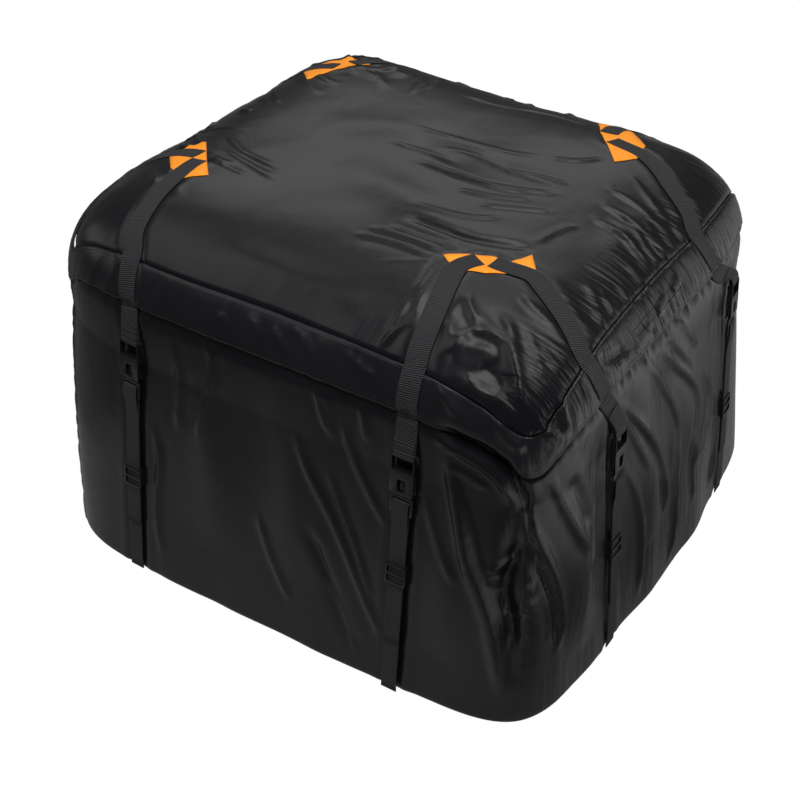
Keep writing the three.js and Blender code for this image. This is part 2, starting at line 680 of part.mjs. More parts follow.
// Levels shared by the buckle halves, measured out from the wall
const BAR_OUT = FEMALE_BACK + FEMALE_THICK / 2;
const FEMALE_BAR = FEMALE_LENGTH - BAR / 2;
const MALE_BAR = -MALE_INSET - 13;
const LOAD_RAISE = KEEPER_BACK + KEEPER_WALL + KEEPER_CLEAR;
const TAIL_RAISE = LOAD_RAISE + WEBBING_THICK + GAP;
const buckleFrame = (strap) =>
  strapFrame(strap, strap.buckle, -MALE_INSET - MALE_LENGTH, FEMALE_LENGTH);

// Upper webbing: from the patch over the crown and the flap to the buckle's bar
function crownRun(strap) {
  const face = FACES[strap.face];
  const half = STRAP_WIDTH / 2;
  const sign = face.side[0] + face.side[1];
  const along = STRAP_LINES[strap.line] * sign;
  const acrossLines = face.side[0] !== 0 ? X_LINES : Y_LINES;
  const runLines = face.side[0] !== 0 ? Y_LINES : X_LINES;
  const outSign = face.out[0] + face.out[1];
  const start = STRAP_LINES[strap.face] + outSign * half;
  const runs = runLines.filter((line) => (line - start) * outSign > -1e-6)
    .sort((p, q) => (p - q) * outSign);
  const node = (across, run) => {
    const ai = acrossLines.findIndex((line) => Math.abs(line - across) < 1e-6);
    const ri = runLines.indexOf(run);
    const [j, i] = face.side[0] !== 0 ? [ri, ai] : [ai, ri];
    return { point: crown[j][i], normal: crownNormals[j][i] };
  };
  const sides = [along - half, along + half].map((value) => value * sign);
  return { runs, node, sides, along, half };
}
function upperStations(strap) {
  const { runs, node, sides, along, half } = crownRun(strap);
  const stations = [];
  const push = (left, right, off, thick = WEBBING_THICK) => {
    const at = (n, d) => n.point.clone().addScaledVector(n.normal, d);
    stations.push([at(left, off + thick), at(right, off + thick), at(right, off), at(left, off)]);
  };
  const overPatch = GAP + PATCH_THICK + GAP;
  runs.forEach((run, k) => push(node(sides[0], run), node(sides[1], run), k < 2 ? overPatch : GAP));
  const overFlap = GAP + FLAP_THICK + GAP;
  const wallNode = (r, c) => ({ point: wall[r][c], normal: wallNormals[r][c] });
  const columns = [columnOf(strap.face, along - half), columnOf(strap.face, along + half)];
  const rowOf = (name, off) => push(wallNode(rowIndex(name), columns[0]),
    wallNode(rowIndex(name), columns[1]), off);
  rowOf('crownEdge', GAP);
  rowOf('seam', overFlap);
  rowOf('pocketHigh', overFlap);
  rowOf('pocketLow', overFlap);
  rowOf('flapEdge', overFlap);
  rowOf('brow', overFlap);
  const back = BAR_OUT - TURN_REACH;
  const lap = back + WEBBING_THICK + GAP;
  const path = [
    [FEMALE_BAR + 10, back], ...turn(FEMALE_BAR, BAR_OUT, -1),
    [FEMALE_BAR + 7, BAR_OUT + TURN_REACH - 1.2], [FEMALE_BAR + 13, lap + 1], [FEMALE_BAR + 24, lap + 2],
  ];
  return [...stations, ...webbingStations(buckleFrame(strap), path, STRAP_WIDTH)];
}

// Lower webbing: up from the foot, around the male half's bar and back down
function lowerStations(strap) {
  const onWall = (height, raise, heading, thick) =>
    wallStation(strap, height, raise, LOWER_WIDTH, heading, thick);
  const loadEnd = strap.buckle + MALE_BAR - 50;
  const loads = steps(strap.tail, loadEnd, 5).map((height) => onWall(height, LOAD_RAISE, 'up'));
  const tails = steps(loadEnd, strap.tail + HEM_LENGTH + 2, 5)
    .map((height) => onWall(height, TAIL_RAISE, 'down'));
  const front = BAR_OUT + TURN_REACH;
  const path = [
    [MALE_BAR - 20, BAR_OUT - TURN_REACH], ...turn(MALE_BAR, BAR_OUT, 1), [MALE_BAR - 22, front],
  ];
  return [
    onWall(2 * FOOT_ROUND, GAP, 'up'), onWall(2 * FOOT_ROUND + 30, LOAD_RAISE, 'up'), ...loads,
    ...webbingStations(buckleFrame(strap), path, LOWER_WIDTH), ...tails,
    onWall(strap.tail + HEM_LENGTH, TAIL_RAISE, 'down', 2 * WEBBING_THICK),
    onWall(strap.tail, TAIL_RAISE, 'down', 2 * WEBBING_THICK),
  ];
}

// Female half: a shell open at the mouth, with side windows and a webbing bar
function femaleSolid() {
  const w = BUCKLE_WIDTH / 2;
  const [low, high] = [FEMALE_BACK, FEMALE_BACK + FEMALE_THICK];
  const outline = [
    [-w + 2, 0], [w - 2, 0], [w, 4], [w, 30], [w - 1.5, 36], [w - 1.5, FEMALE_LENGTH - 3],
    [w - 4, FEMALE_LENGTH], [-w + 4, FEMALE_LENGTH], [-w + 1.5, FEMALE_LENGTH - 3],
    [-w + 1.5, 36], [-w, 30], [-w, 4],
  ];
  const slot = STRAP_WIDTH / 2 + GAP;
  const shell = slabs(outline, low, high);
  const socketDepth = PRONG_LENGTH + 3;
  const cutTop = socketDepth - 4;
  const cuts = [
    slabs(boxOutline(-w + SHELL_WALL, -1, w - SHELL_WALL, socketDepth), low + SHELL_WALL, high - SHELL_WALL),
    slabs(boxOutline(-w - 1, -1, w + 1, cutTop), low + SHELL_WALL, high - SHELL_WALL),
    slabs(boxOutline(-slot, 38, slot, FEMALE_LENGTH - BAR), low - 1, high + 1),
    slabs(boxOutline(-slot, FEMALE_LENGTH - BAR - 1, slot, FEMALE_LENGTH + 1), low - 1, BAR_OUT - BAR / 2),
    slabs(boxOutline(-slot, FEMALE_LENGTH - BAR - 1, slot, FEMALE_LENGTH + 1), BAR_OUT + BAR / 2, high + 1),
    slabs([[-6, 10], [-4, 5], [4, 5], [6, 10], [6, 24], [-6, 24]], high - SHELL_WALL - 1, high + 1),
  ];
  return cuts.reduce((solid, cut) => solid.subtract(cut), shell);
}

// Male half: two sprung prongs, a guide tongue and two webbing bars
function maleSolid() {
  const w = BUCKLE_WIDTH / 2;
  const [low, high] = [BAR_OUT - MALE_THICK / 2, BAR_OUT + MALE_THICK / 2];
  const foot = -MALE_INSET - MALE_LENGTH + 4;
  const plate = slabs([
    [-w + 3, foot], [w - 3, foot], [w - 1, foot + 3], [w - 1, -MALE_INSET - 2], [w - 3, -MALE_INSET],
    [-w + 3, -MALE_INSET], [-w + 1, -MALE_INSET - 2], [-w + 1, foot + 3],
  ], low, high);
  const prong = (s) => slabs([
    [s * 8, -MALE_INSET - 1], [s * 12, -MALE_INSET - 1], [s * 13, 8], [s * (w - 0.2), 10],
    [s * (w - 0.6), 17], [s * 14.5, PRONG_LENGTH - 1], [s * 12, PRONG_LENGTH],
    [s * 10.5, PRONG_LENGTH - 3],
  ], low, high);
  const tongue = slabs([
    [-3, -MALE_INSET - 1], [3, -MALE_INSET - 1], [3, 18], [1.5, 21], [-1.5, 21], [-3, 18],
  ], low, high);
  const slot = LOWER_WIDTH / 2 + 0.7;
  const upper = slabs(boxOutline(-slot, MALE_BAR + BAR / 2, slot, MALE_BAR + BAR / 2 + 6), low - 1, high + 1);
  const lower = slabs(boxOutline(-slot, MALE_BAR - BAR / 2 - 6, slot, MALE_BAR - BAR / 2), low - 1, high + 1);
  return Manifold.union([plate, prong(1), prong(-1), tongue]).subtract(upper).subtract(lower);
}

// Keeper: a flat ring around both layers of the lower webbing, with two windows
function keeperSolid() {
  const inner = LOWER_WIDTH / 2 + 0.8;
  const outer = inner + 2.4;
  const length = KEEPER_LENGTH / 2;
  const low = KEEPER_BACK;
  const top = TAIL_RAISE + WEBBING_THICK + KEEPER_CLEAR;
  const block = slabs([
    [-outer + 2, -length], [outer - 2, -length], [outer, -length + 2], [outer, length - 2],
    [outer - 2, length], [-outer + 2, length], [-outer, length - 2], [-outer, -length + 2],
  ], low, top + KEEPER_WALL + 0.6);
  const tunnel = slabs(boxOutline(-inner, -length - 1, inner, length + 1), low + KEEPER_WALL, top);
  const window = (from, to) => slabs(boxOutline(-inner, from, inner, to), top - 1, top + 4);
  return block.subtract(tunnel).subtract(window(2, length - 4)).subtract(window(4 - length, -2));
}

function buildStraps() {
  const female = femaleSolid();
  const male = maleSolid();
  const keeper = keeperSolid();
  for (const strap of STRAP_SET) {
    const matrix = frameMatrix(buckleFrame(strap));
    addMesh(`upper_webbing_${strap.name}`, stripSkin(upperStations(strap)).geometry(), WEBBING);
    addMesh(`lower_webbing_${strap.name}`, stripSkin(lowerStations(strap)).geometry(), WEBBING);
    addMesh(`buckle_female_${strap.name}`, fromManifold(female, matrix), PLASTIC);
    addMesh(`buckle_male_${strap.name}`, fromManifold(male, matrix), PLASTIC);
    const reach = KEEPER_LENGTH / 2;
    const place = frameMatrix(strapFrame(strap, strap.keeper, -reach, reach));
    addMesh(`keeper_${strap.name}`, fromManifold(keeper, place), PLASTIC);
  }
}

buildBody();
buildFlap();
buildZipChain();
buildSliders();
buildPatches();
buildStraps();

// The frame's origin is the middle of the part's base
const box = new THREE.Box3().setFromObject(bag);
const center = box.getCenter(vec(0, 0, 0));
bag.children.forEach((mesh) => mesh.geometry.translate(-center.x, -center.y, -box.min.z));

export default bag;
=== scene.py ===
import math
import bmesh
import bpy
import numpy as np
from mathutils import Matrix, Vector
from mathutils.bvhtree import BVHTree


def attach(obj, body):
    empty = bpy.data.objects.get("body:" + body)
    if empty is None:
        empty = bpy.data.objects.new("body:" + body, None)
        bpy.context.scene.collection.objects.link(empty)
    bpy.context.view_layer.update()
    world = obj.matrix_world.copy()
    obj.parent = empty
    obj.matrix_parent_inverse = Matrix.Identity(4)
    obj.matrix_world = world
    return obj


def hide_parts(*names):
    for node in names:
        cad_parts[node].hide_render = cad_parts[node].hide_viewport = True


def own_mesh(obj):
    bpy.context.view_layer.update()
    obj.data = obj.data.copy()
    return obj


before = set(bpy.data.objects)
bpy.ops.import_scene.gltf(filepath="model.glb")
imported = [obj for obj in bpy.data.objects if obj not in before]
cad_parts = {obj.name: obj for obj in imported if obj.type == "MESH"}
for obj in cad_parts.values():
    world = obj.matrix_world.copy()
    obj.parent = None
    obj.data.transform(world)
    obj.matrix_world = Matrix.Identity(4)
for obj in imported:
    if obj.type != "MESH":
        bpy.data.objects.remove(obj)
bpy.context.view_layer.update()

# Drawing sizes of the bag, in millimetres, as in the part's source
ORIGIN = np.array([-6.436, 5.588, 0.0])
HEIGHT, SHOULDER = 570.0, 378.0
BASE = {"front": 463.0, "back": 438.0, "left": 416.0, "right": 481.0}
SHOULDER_HALF = {"front": 428.0, "back": 463.0, "left": 481.0, "right": 451.0}
POWER = {(1, -1): 10.0, (1, 1): 4.2, (-1, 1): 10.0, (-1, -1): 4.0}
BASE_POWER, CROWN_PLAN_POWER, CROWN_POWER = 7.2, 3.44, 3.9
FRONT_RIGHT_BASE_POWER = 10.0
CORNER_LIFT, LIFT_REACH = 35.0, 470.0
SEAM_HEIGHT, SEAM_DIP = 524.0, 36.0
FLAP_EDGE, EDGE_DIP = 472.0, 40.0
# Dip of the level lines at the corners: a broad one and a sharp point, and the point's share
DIP_POWER, POINT_POWER, POINT_SHARE = 20.0, 110.0, 0.55
LEVEL_ROUNDS, CROWN_ROUNDS, EDGE_ON = 7, 60, 0.999
LINES = {"left": -227.0, "right": 250.0, "front": -205.0, "back": 229.0}
STRAP_WIDTH, LOWER_WIDTH, WEB = 32.0, 26.0, 1.8
# Each face: its outward direction, and its direction to the right seen from outside
FACES = {
    "front": ((0, -1), (1, 0)), "right": ((1, 0), (0, 1)),
    "back": ((0, 1), (-1, 0)), "left": ((-1, 0), (0, -1)),
}
# Broad folds of the walls: face, place along it, top, foot, half width, depth and sideways drift
FOLDS = [
    ("right", -330, 430, 60, 32, 12, 46), ("right", -110, 455, 110, 36, 12, 40),
    ("right", 30, 455, 150, 34, 11, 52), ("front", 345, 430, 90, 32, 10, -20),
    ("front", 90, 440, 120, 46, 8, -30), ("front", -90, 430, 100, 46, 8, 24),
    ("back", 60, 440, 120, 48, 6, 22), ("left", 40, 440, 120, 48, 6, -22),
]
# Ridges of the lid: both ends, half width and height
RIDGES = [
    ((150, -130), (-120, -20), 44, 6), ((150, 170), (-60, 40), 46, 5),
    ((-150, -330), (120, -345), 34, 6), ((345, -90), (350, 120), 34, 6),
    ((-240, 60), (-60, 150), 44, 4),
]
# Straps: name, face, the line it follows, and the heights of its buckle, its keeper and its tail's end
STRAPS = [
    ("front_left", "front", "left", 352, 175, 90), ("front_right", "front", "right", 350, 213, 92),
    ("right_front", "right", "front", 330, 190, 88), ("right_back", "right", "back", 352, 178, 90),
    ("back_right", "back", "right", 350, 200, 90), ("back_left", "back", "left", 350, 200, 90),
    ("left_back", "left", "back", 350, 200, 90), ("left_front", "left", "front", 350, 200, 90),
]

# Folds traced on the 800 pixel photograph: height and half width in millimetres, and the line's pixels
TRACED_FOLDS = [
    # Front right corner of the walls
    (3.2, 13, [(445, 456), (458, 500), (467, 549), (485, 610), (497, 667), (501, 712)]),
    (-4.5, 22, [(522, 500), (513, 560), (506, 600), (510, 650), (512, 700)]),
    (3.5, 8, [(536, 529), (546, 551), (554, 574), (557, 610), (558, 642)]),
    (-3.5, 10, [(530, 560), (543, 600), (547, 640)]),
    (2.2, 6, [(485, 578), (497, 583), (507, 592)]),
    # Front right corner of the lid
    (4, 14, [(465, 283), (473, 312), (511, 346), (515, 373), (523, 415)]),
    (3, 8, [(534, 285), (547, 293), (565, 320), (574, 346)]),
    (2.5, 12, [(450, 330), (470, 345), (500, 352)]),
    # Front wall
    (2.2, 9, [(205, 330), (213, 370), (208, 400), (204, 430)]),
    (2, 9, [(318, 380), (330, 410), (333, 440)]),
    # Top
    (3, 8, [(228, 135), (240, 149), (256, 158), (275, 167)]),
    (2.5, 7, [(223, 148), (244, 161), (265, 174), (277, 182)]),
    (2, 7, [(212, 158), (228, 167), (248, 176)]),
    (-2, 8, [(244, 154), (261, 164), (281, 174)]),
    (3, 9, [(409, 158), (447, 171), (492, 186), (538, 196)]),
    (3, 8, [(440, 170), (480, 182), (525, 190), (566, 195)]),
    (2.5, 8, [(451, 188), (492, 196), (538, 200)]),
    (2.5, 9, [(405, 204), (434, 211), (471, 217), (509, 217)]),
    (2.5, 7, [(476, 204), (513, 208), (558, 212)]),
    (2, 8, [(434, 147), (476, 158), (517, 174), (558, 186)]),
    (2, 8, [(385, 139), (426, 153), (463, 168)]),
    (2, 8, [(405, 124), (451, 137), (504, 153), (550, 158)]),
    (2, 7, [(504, 170), (538, 176), (575, 186)]),
    (3, 9, [(517, 108), (554, 115), (595, 127)]),
    (2, 8, [(459, 93), (504, 106), (546, 112)]),
    (-7, 12, [(399, 214), (428, 224), (467, 237), (504, 244), (538, 249)]),
    (5, 8, [(368, 226), (405, 237), (447, 252)]),
    (4, 7, [(385, 224), (422, 238), (463, 250)]),
    (4, 7, [(352, 232), (389, 241), (434, 257)]),
    (3, 8, [(533, 244), (554, 232), (579, 224)]),
    (3, 8, [(550, 158), (579, 161), (604, 158)]),
    # Lid, right edge
    (5, 9, [(595, 201), (622, 215), (653, 244), (670, 265)]),
    (5, 9, [(602, 186), (637, 205), (666, 236), (678, 257)]),
    (4, 8, [(643, 161), (662, 184), (676, 209), (684, 228)]),
    (4, 8, [(653, 155), (676, 182), (688, 207)]),
    (5, 9, [(587, 215), (616, 232), (639, 257), (651, 275)]),
    (4, 8, [(628, 174), (653, 203), (674, 232)]),
    (-4, 9, [(612, 215), (639, 232), (662, 261)]),
    # Lid, gathers along the right seam
    (5, 9, [(587, 281), (595, 299), (601, 318), (604, 331)]),
    (4, 8, [(600, 287), (610, 304), (617, 321)]),
    (4, 8, [(618, 285), (628, 298), (634, 307)]),
    (4, 8, [(627, 265), (639, 279), (649, 290)]),
    (5, 8, [(615, 231), (637, 254), (657, 277)]),
    (4, 7, [(631, 227), (646, 248), (662, 270)]),
    (4, 7, [(645, 220), (656, 240), (670, 262)]),
    (4, 7, [(658, 218), (670, 236), (680, 252)]),
    (4, 7, [(670, 218), (681, 234), (686, 242)]),
    (5, 9, [(520, 293), (536, 310), (556, 329), (575, 349)]),
    (6, 10, [(500, 311), (512, 333), (515, 361), (520, 392), (525, 422)]),
    (4, 8, [(527, 327), (536, 352), (542, 379)]),
    (4, 8, [(541, 340), (554, 363), (566, 376)]),
    (4, 7, [(548, 340), (560, 354), (569, 366)]),
    (3, 6, [(465, 293), (474, 320), (477, 340)]),
    # Lid, over the front right corner
    (5, 9, [(454, 367), (457, 347), (475, 330), (498, 337), (509, 352), (512, 374)]),
    (7, 22, [(434, 320), (449, 333), (451, 356)]),
    (-8, 22, [(482, 361), (498, 376), (507, 392)]),
    (4, 8, [(461, 367), (475, 392), (498, 401), (522, 422)]),
    (3, 7, [(495, 392), (507, 408), (524, 425)]),
    (3, 7, [(410, 320), (393, 333), (380, 347)]),
    (3, 7, [(410, 297), (400, 313), (388, 333)]),
    (3, 6, [(430, 283), (420, 300), (413, 317)]),
    (3, 7, [(441, 254), (427, 272), (414, 295)]),
    # Storm flap, right
    (4, 8, [(438, 388), (449, 401), (458, 417)]),
    (5, 10, [(495, 413), (507, 438), (527, 449)]),
    (5, 9, [(534, 424), (547, 435), (563, 440)]),
    (4, 8, [(559, 395), (563, 415), (567, 435)]),
    (4, 8, [(545, 424), (552, 442), (554, 458)]),
    (4, 8, [(611, 365), (629, 356), (640, 347)]),
    (3, 7, [(636, 347), (645, 333), (652, 320)]),
    (3, 6, [(656, 315), (661, 304), (665, 293)]),
    (3, 6, [(670, 295), (674, 286), (679, 277)]),
    (-4, 12, [(595, 361), (611, 358), (627, 349)]),
    # Storm flap, front
    (3, 6, [(220, 313), (227, 323), (228, 333)]),
    (2.5, 6, [(247, 317), (257, 327), (260, 340)]),
    (2.5, 6, [(273, 327), (280, 340), (293, 357)]),
    (2.5, 6, [(293, 327), (303, 337), (313, 357)]),
    (2.5, 6, [(347, 353), (360, 367), (380, 380)]),
    # Front wall and corner
    (-9, 11, [(432, 422), (457, 437), (486, 452), (507, 469), (520, 490), (528, 517)]),
    (5, 9, [(427, 433), (457, 449), (484, 466), (502, 483), (513, 506)]),
    (2.5, 6, [(448, 464), (466, 475), (491, 490)]),
    (6, 12, [(447, 437), (453, 480), (465, 530), (473, 573), (490, 620), (497, 673), (502, 713)]),
    (-9, 20, [(527, 530), (517, 560), (503, 593), (513, 627), (517, 667)]),
    (3, 7, [(487, 573), (503, 567), (520, 563)]),
    (3, 6, [(503, 620), (517, 617), (527, 607)]),
    (3.5, 7, [(218, 342), (212, 383), (202, 420), (199, 440)]),
    (3, 7, [(315, 382), (323, 413), (331, 433)]),
    (3.5, 9, [(293, 420), (313, 473), (337, 530), (350, 563), (373, 620), (388, 653)]),
    (3.5, 8, [(343, 420), (353, 453), (367, 487), (388, 530)]),
    (3, 7, [(327, 460), (343, 513), (357, 553), (373, 607)]),
    (-4, 12, [(305, 517), (322, 563), (343, 620), (357, 660)]),
    (3, 8, [(323, 570), (343, 617), (357, 660)]),
    (3, 8, [(360, 397), (364, 420), (368, 443)]),
    (3, 8, [(423, 487), (437, 537), (460, 587)]),
    (3, 9, [(152, 420), (160, 460), (157, 507), (163, 560)]),
    (2.5, 9, [(257, 507), (273, 560), (293, 607)]),
    (2.5, 10, [(173, 340), (180, 387), (177, 433)]),
    # Right wall
    (5, 8, [(611, 394), (636, 420), (649, 447), (657, 474), (660, 506)]),
    (4, 7, [(608, 398), (627, 424), (638, 451), (643, 472)]),
    (5, 8, [(640, 356), (658, 379), (670, 401), (675, 424), (672, 458), (669, 488)]),
    (5, 8, [(655, 342), (674, 363), (686, 379), (693, 401), (691, 435), (685, 476)]),
    (4, 7, [(665, 332), (679, 350), (688, 367)]),
    (4, 7, [(676, 316), (688, 333), (696, 347)]),
    (3.5, 8, [(704, 363), (709, 392), (704, 424), (692, 463)]),
    (3.5, 8, [(718, 401), (715, 447), (704, 492)]),
    (4, 8, [(625, 460), (634, 495), (637, 531), (636, 565), (633, 601)]),
    (4, 8, [(677, 424), (674, 452), (670, 495), (666, 537), (659, 567)]),
    (3, 7, [(690, 426), (688, 458), (686, 501)]),
    (5, 8, [(550, 471), (561, 503), (574, 533), (584, 553)]),
    (3.5, 8, [(592, 501), (591, 540), (584, 572)]),
    (6, 8, [(527, 505), (538, 540), (550, 567), (559, 595), (561, 625), (558, 661)]),
    (-7, 7, [(535, 559), (548, 584), (555, 612), (557, 646)]),
    (-6, 14, [(570, 476), (581, 505), (585, 531)]),
    (3, 7, [(658, 469), (659, 490), (657, 512)]),
    (3, 8, [(620, 552), (616, 578), (612, 601)]),
]
# Upper and lower row of the hook-and-loop closure on the right flap
CLOSURE_ROWS = [[(425, 27, 506), (428, -52, 506), (428, -129, 505)],
                [(438, 32, 487), (439, -45, 487), (439, -119, 486)]]

# Camera, fitted to the photograph
YAW, PITCH, ROLL, DISTANCE = 0.5365, 0.5781, 0.0284, 2.3905
LOOKED_AT = Vector((0.01044, 0.01191, 0.285))
PHOTO_SIZE, FOCAL_PIXELS, SHIFT_PIXELS = 800, 1435.4, (-22.57, -75.93)
forward = Vector((-math.sin(YAW) * math.cos(PITCH), math.cos(YAW) * math.cos(PITCH), -math.sin(PITCH)))
level_right = forward.cross(Vector((0, 0, 1))).normalized()
level_up = level_right.cross(forward)
right = math.cos(ROLL) * level_right + math.sin(ROLL) * level_up
up = -math.sin(ROLL) * level_right + math.cos(ROLL) * level_up
eye = LOOKED_AT - forward * DISTANCE


# Smooth shape of the bag

def metres(p):
    """Drawing millimetres to metres of the frame."""
    return (np.asarray(p, float) - ORIGIN) / 1000


def mix(a, b, t):
    """Blend from a at 0 to b at 1."""
    return a + (b - a) * t


def smooth(a, b, t):
    """Soft step from 0 at a to 1 at b."""
    t = np.clip((t - a) / (b - a), 0, 1)
    return t * t * (3 - 2 * t)


def rise_at(s):
    """Share of the crown's height at a share of its reach, and the other way round."""
    return (1 - np.minimum(1, s) ** CROWN_POWER) ** (1 / CROWN_POWER)


def half(pos, neg, sign, height):
    """Half size of a level section on the side that sign picks."""
    t = np.clip(height / SHOULDER, 0, 1)
    return np.where(sign > 0, mix(BASE[pos], SHOULDER_HALF[pos], t), mix(BASE[neg], SHOULDER_HALF[neg], t))


def power(sx, sy, height, shrink):
    """Power of the rounded square that a level section has at a corner."""
    corner = np.where(sx > 0, np.where(sy > 0, POWER[1, 1], POWER[1, -1]),
                      np.where(sy > 0, POWER[-1, 1], POWER[-1, -1]))
    foot = np.where((sx > 0) & (sy < 0), FRONT_RIGHT_BASE_POWER, BASE_POWER)
    wall = mix(foot, corner, np.clip(height / SHOULDER, 0, 1))
    return mix(wall, CROWN_PLAN_POWER, np.sqrt(np.clip(1 - shrink, 0, 1)))


def corner_lift(x, y):
    """How much higher the crown stands towards its corners."""
    return CORNER_LIFT * np.minimum(1, np.abs(x * y) / LIFT_REACH ** 2) ** 1.5


def section(du, dv, height, shrink):
    """Point of a level section in the direction (du, dv) of the unit square."""
    h = np.minimum(height, SHOULDER)
    p = power(np.sign(du), np.sign(dv), h, shrink)
    reach = (np.abs(du) ** p + np.abs(dv) ** p) ** (-1 / p)
    a, b = half("right", "left", du, h), half("back", "front", dv, h)
    u, v = np.abs(du) * reach, np.abs(dv) * reach
    cornerness = 2 * u * v / (u * u + v * v)
    corner_dip = mix(cornerness ** DIP_POWER, cornerness ** POINT_POWER, POINT_SHARE)
    return du * reach * a * shrink, dv * reach * b * shrink, corner_dip


def wall_surface(du, dv, height, dip):
    """Points of the smooth body at given heights; dip lowers them at the corners."""
    h, lift = height + 0 * du, 0.0
    for _ in range(LEVEL_ROUNDS):
        rise = np.clip((h - SHOULDER) / (HEIGHT - SHOULDER + lift), 0, 1)
        shrink = rise_at(rise)
        x, y, corner = section(du, dv, h, shrink)
        lift = corner_lift(x, y)
        h = height - dip * corner
    return np.stack([x, y, h], -1), shrink


def crown_surface(du, dv, shrink):
    """Points of the smooth crown in a direction, at a share of its reach."""
    x, y, _ = section(du, dv, SHOULDER + 0 * du, shrink)
    z = SHOULDER + (HEIGHT - SHOULDER + corner_lift(x, y)) * rise_at(shrink)
    return np.stack([x, y, z], -1)


def crown_height(x, y):
    """Height of the smooth crown over a point."""
    a, b = half("right", "left", x, SHOULDER), half("back", "front", y, SHOULDER)
    shrink = 0.5 + 0 * x
    for _ in range(CROWN_ROUNDS):
        p = power(np.sign(x), np.sign(y), SHOULDER, shrink)
        s = ((np.abs(x) / a) ** p + (np.abs(y) / b) ** p) ** (1 / p)
        shrink = mix(shrink, np.minimum(EDGE_ON, s), 0.5)
    return SHOULDER + (HEIGHT - SHOULDER + corner_lift(x, y)) * rise_at(shrink)


def wall_point(face, along, height):
    """Point of the smooth wall at a place along a face and a height."""
    out, side = FACES[face]
    along, height = np.asarray(along, float), np.asarray(height, float)
    h, lift = np.minimum(height, SHOULDER), 0.0
    sx, sy = out[0] + np.sign(along * side[0]), out[1] + np.sign(along * side[1])
    a, b = half("right", "left", sx, h), half("back", "front", sy, h)
    own, other = (a, b) if side[0] else (b, a)
    for _ in range(LEVEL_ROUNDS):
        shrink = rise_at(np.clip((height - SHOULDER) / (HEIGHT - SHOULDER + lift), 0, 1))
        p = power(sx, sy, h, shrink)
        share = np.minimum(EDGE_ON, np.abs(along) / (own * shrink))
        reach = (1 - share ** p) ** (1 / p) * other * shrink
        x, y = along * side[0] + out[0] * reach, along * side[1] + out[1] * reach
        lift = corner_lift(x, y)
    return np.stack([x, y, height + 0 * x], -1)


# Least distance from the middle that counts as being on a face
FACE_START = 300


def fold_push(p):
    """Outward push of the broad folds at points of the wall."""
    push = np.zeros(p.shape[:-1])
    for face, at, top, foot, width, depth, drift in FOLDS:
        out, side = FACES[face]
        along = p[..., 0] * side[0] + p[..., 1] * side[1]
        facing = (p[..., 0] * out[0] + p[..., 1] * out[1]) > FACE_START
        t = (top - p[..., 2]) / (top - foot)
        off = (along - at - drift * t) / width
        push += facing * (t > 0) * (t < 1) * depth * np.sin(np.pi * np.clip(t, 0, 1)) * np.exp(-off * off)
    return push


def ridge_rise(x, y):
    """How far the ridges lift the lid over a point."""
    rise = np.zeros(np.shape(x))
    for (ax, ay), (bx, by), width, height in RIDGES:
        dx, dy = bx - ax, by - ay
        length = math.hypot(dx, dy)
        t = ((x - ax) * dx + (y - ay) * dy) / length ** 2
        off = ((x - ax) * dy - (y - ay) * dx) / length / width
        rise += (t > 0) * (t < 1) * height * np.sin(np.pi * np.clip(t, 0, 1)) * np.exp(-off * off)
    return rise


# Meshes

def unit(v):
    """Vectors brought to length one."""
    return v / np.maximum(np.linalg.norm(v, axis=-1, keepdims=True), 1e-12)


def grid_normals(p, wrap=False):
    """Normals of a grid of points: rows run up, columns run to the right of the outward side."""
    if wrap:
        du = np.roll(p, -1, 1) - np.roll(p, 1, 1)
    else:
        du = np.gradient(p, axis=1)
    dv = np.gradient(p, axis=0)
    return unit(np.cross(du, dv))


def mesh_from(name, verts, faces, uvs=None, material=None):
    """Mesh object from points in millimetres of the drawing; uvs is one pair per point, in metres."""
    mesh = bpy.data.meshes.new(name)
    if not isinstance(faces, list):
        faces = faces.tolist()
    mesh.from_pydata(metres(verts).tolist(), [], faces)
    if uvs is not None:
        layer = mesh.uv_layers.new(name="UVMap")
        index = np.zeros(len(mesh.loops), int)
        mesh.loops.foreach_get("vertex_index", index)
        layer.data.foreach_set("uv", np.asarray(uvs, np.float32)[index].ravel())
    mesh.polygons.foreach_set("use_smooth", [True] * len(mesh.polygons))
    mesh.update()
    obj = bpy.data.objects.new(name, mesh)
    bpy.context.scene.collection.objects.link(obj)
    if material:
        mesh.materials.append(material)
    return obj


def grid_faces(rows, cols, wrap=False, start=0):
    """Four corners of each cell of a grid of points; start is the number of its first point."""
    r = np.arange(rows - 1)[:, None]
    c = np.arange(cols if wrap else cols - 1)[None, :]
    n = (c + 1) % cols
    quads = np.stack([r * cols + c, r * cols + n, (r + 1) * cols + n, (r + 1) * cols + c], -1)
    return quads.reshape(-1, 4) + start


# Fine shape of the cloth: folds, wrinkles, seams and the press of the straps

def catmull(points, count):
    """Smooth curve through the points, with count steps between each two."""
    p = np.asarray(points, float)
    p = np.vstack([2 * p[0] - p[1], p, 2 * p[-1] - p[-2]])
    out = []
    for k in range(1, len(p) - 2):
        for t in np.arange(count) / count:
            a, b, c, d = p[k - 1], p[k], p[k + 1], p[k + 2]
            out.append(0.5 * (2 * b + (c - a) * t + (2 * a - 5 * b + 4 * c - d) * t * t
                              + (3 * b - a - 3 * c + d) * t ** 3))
    out.append(p[-2])
    return np.array(out)


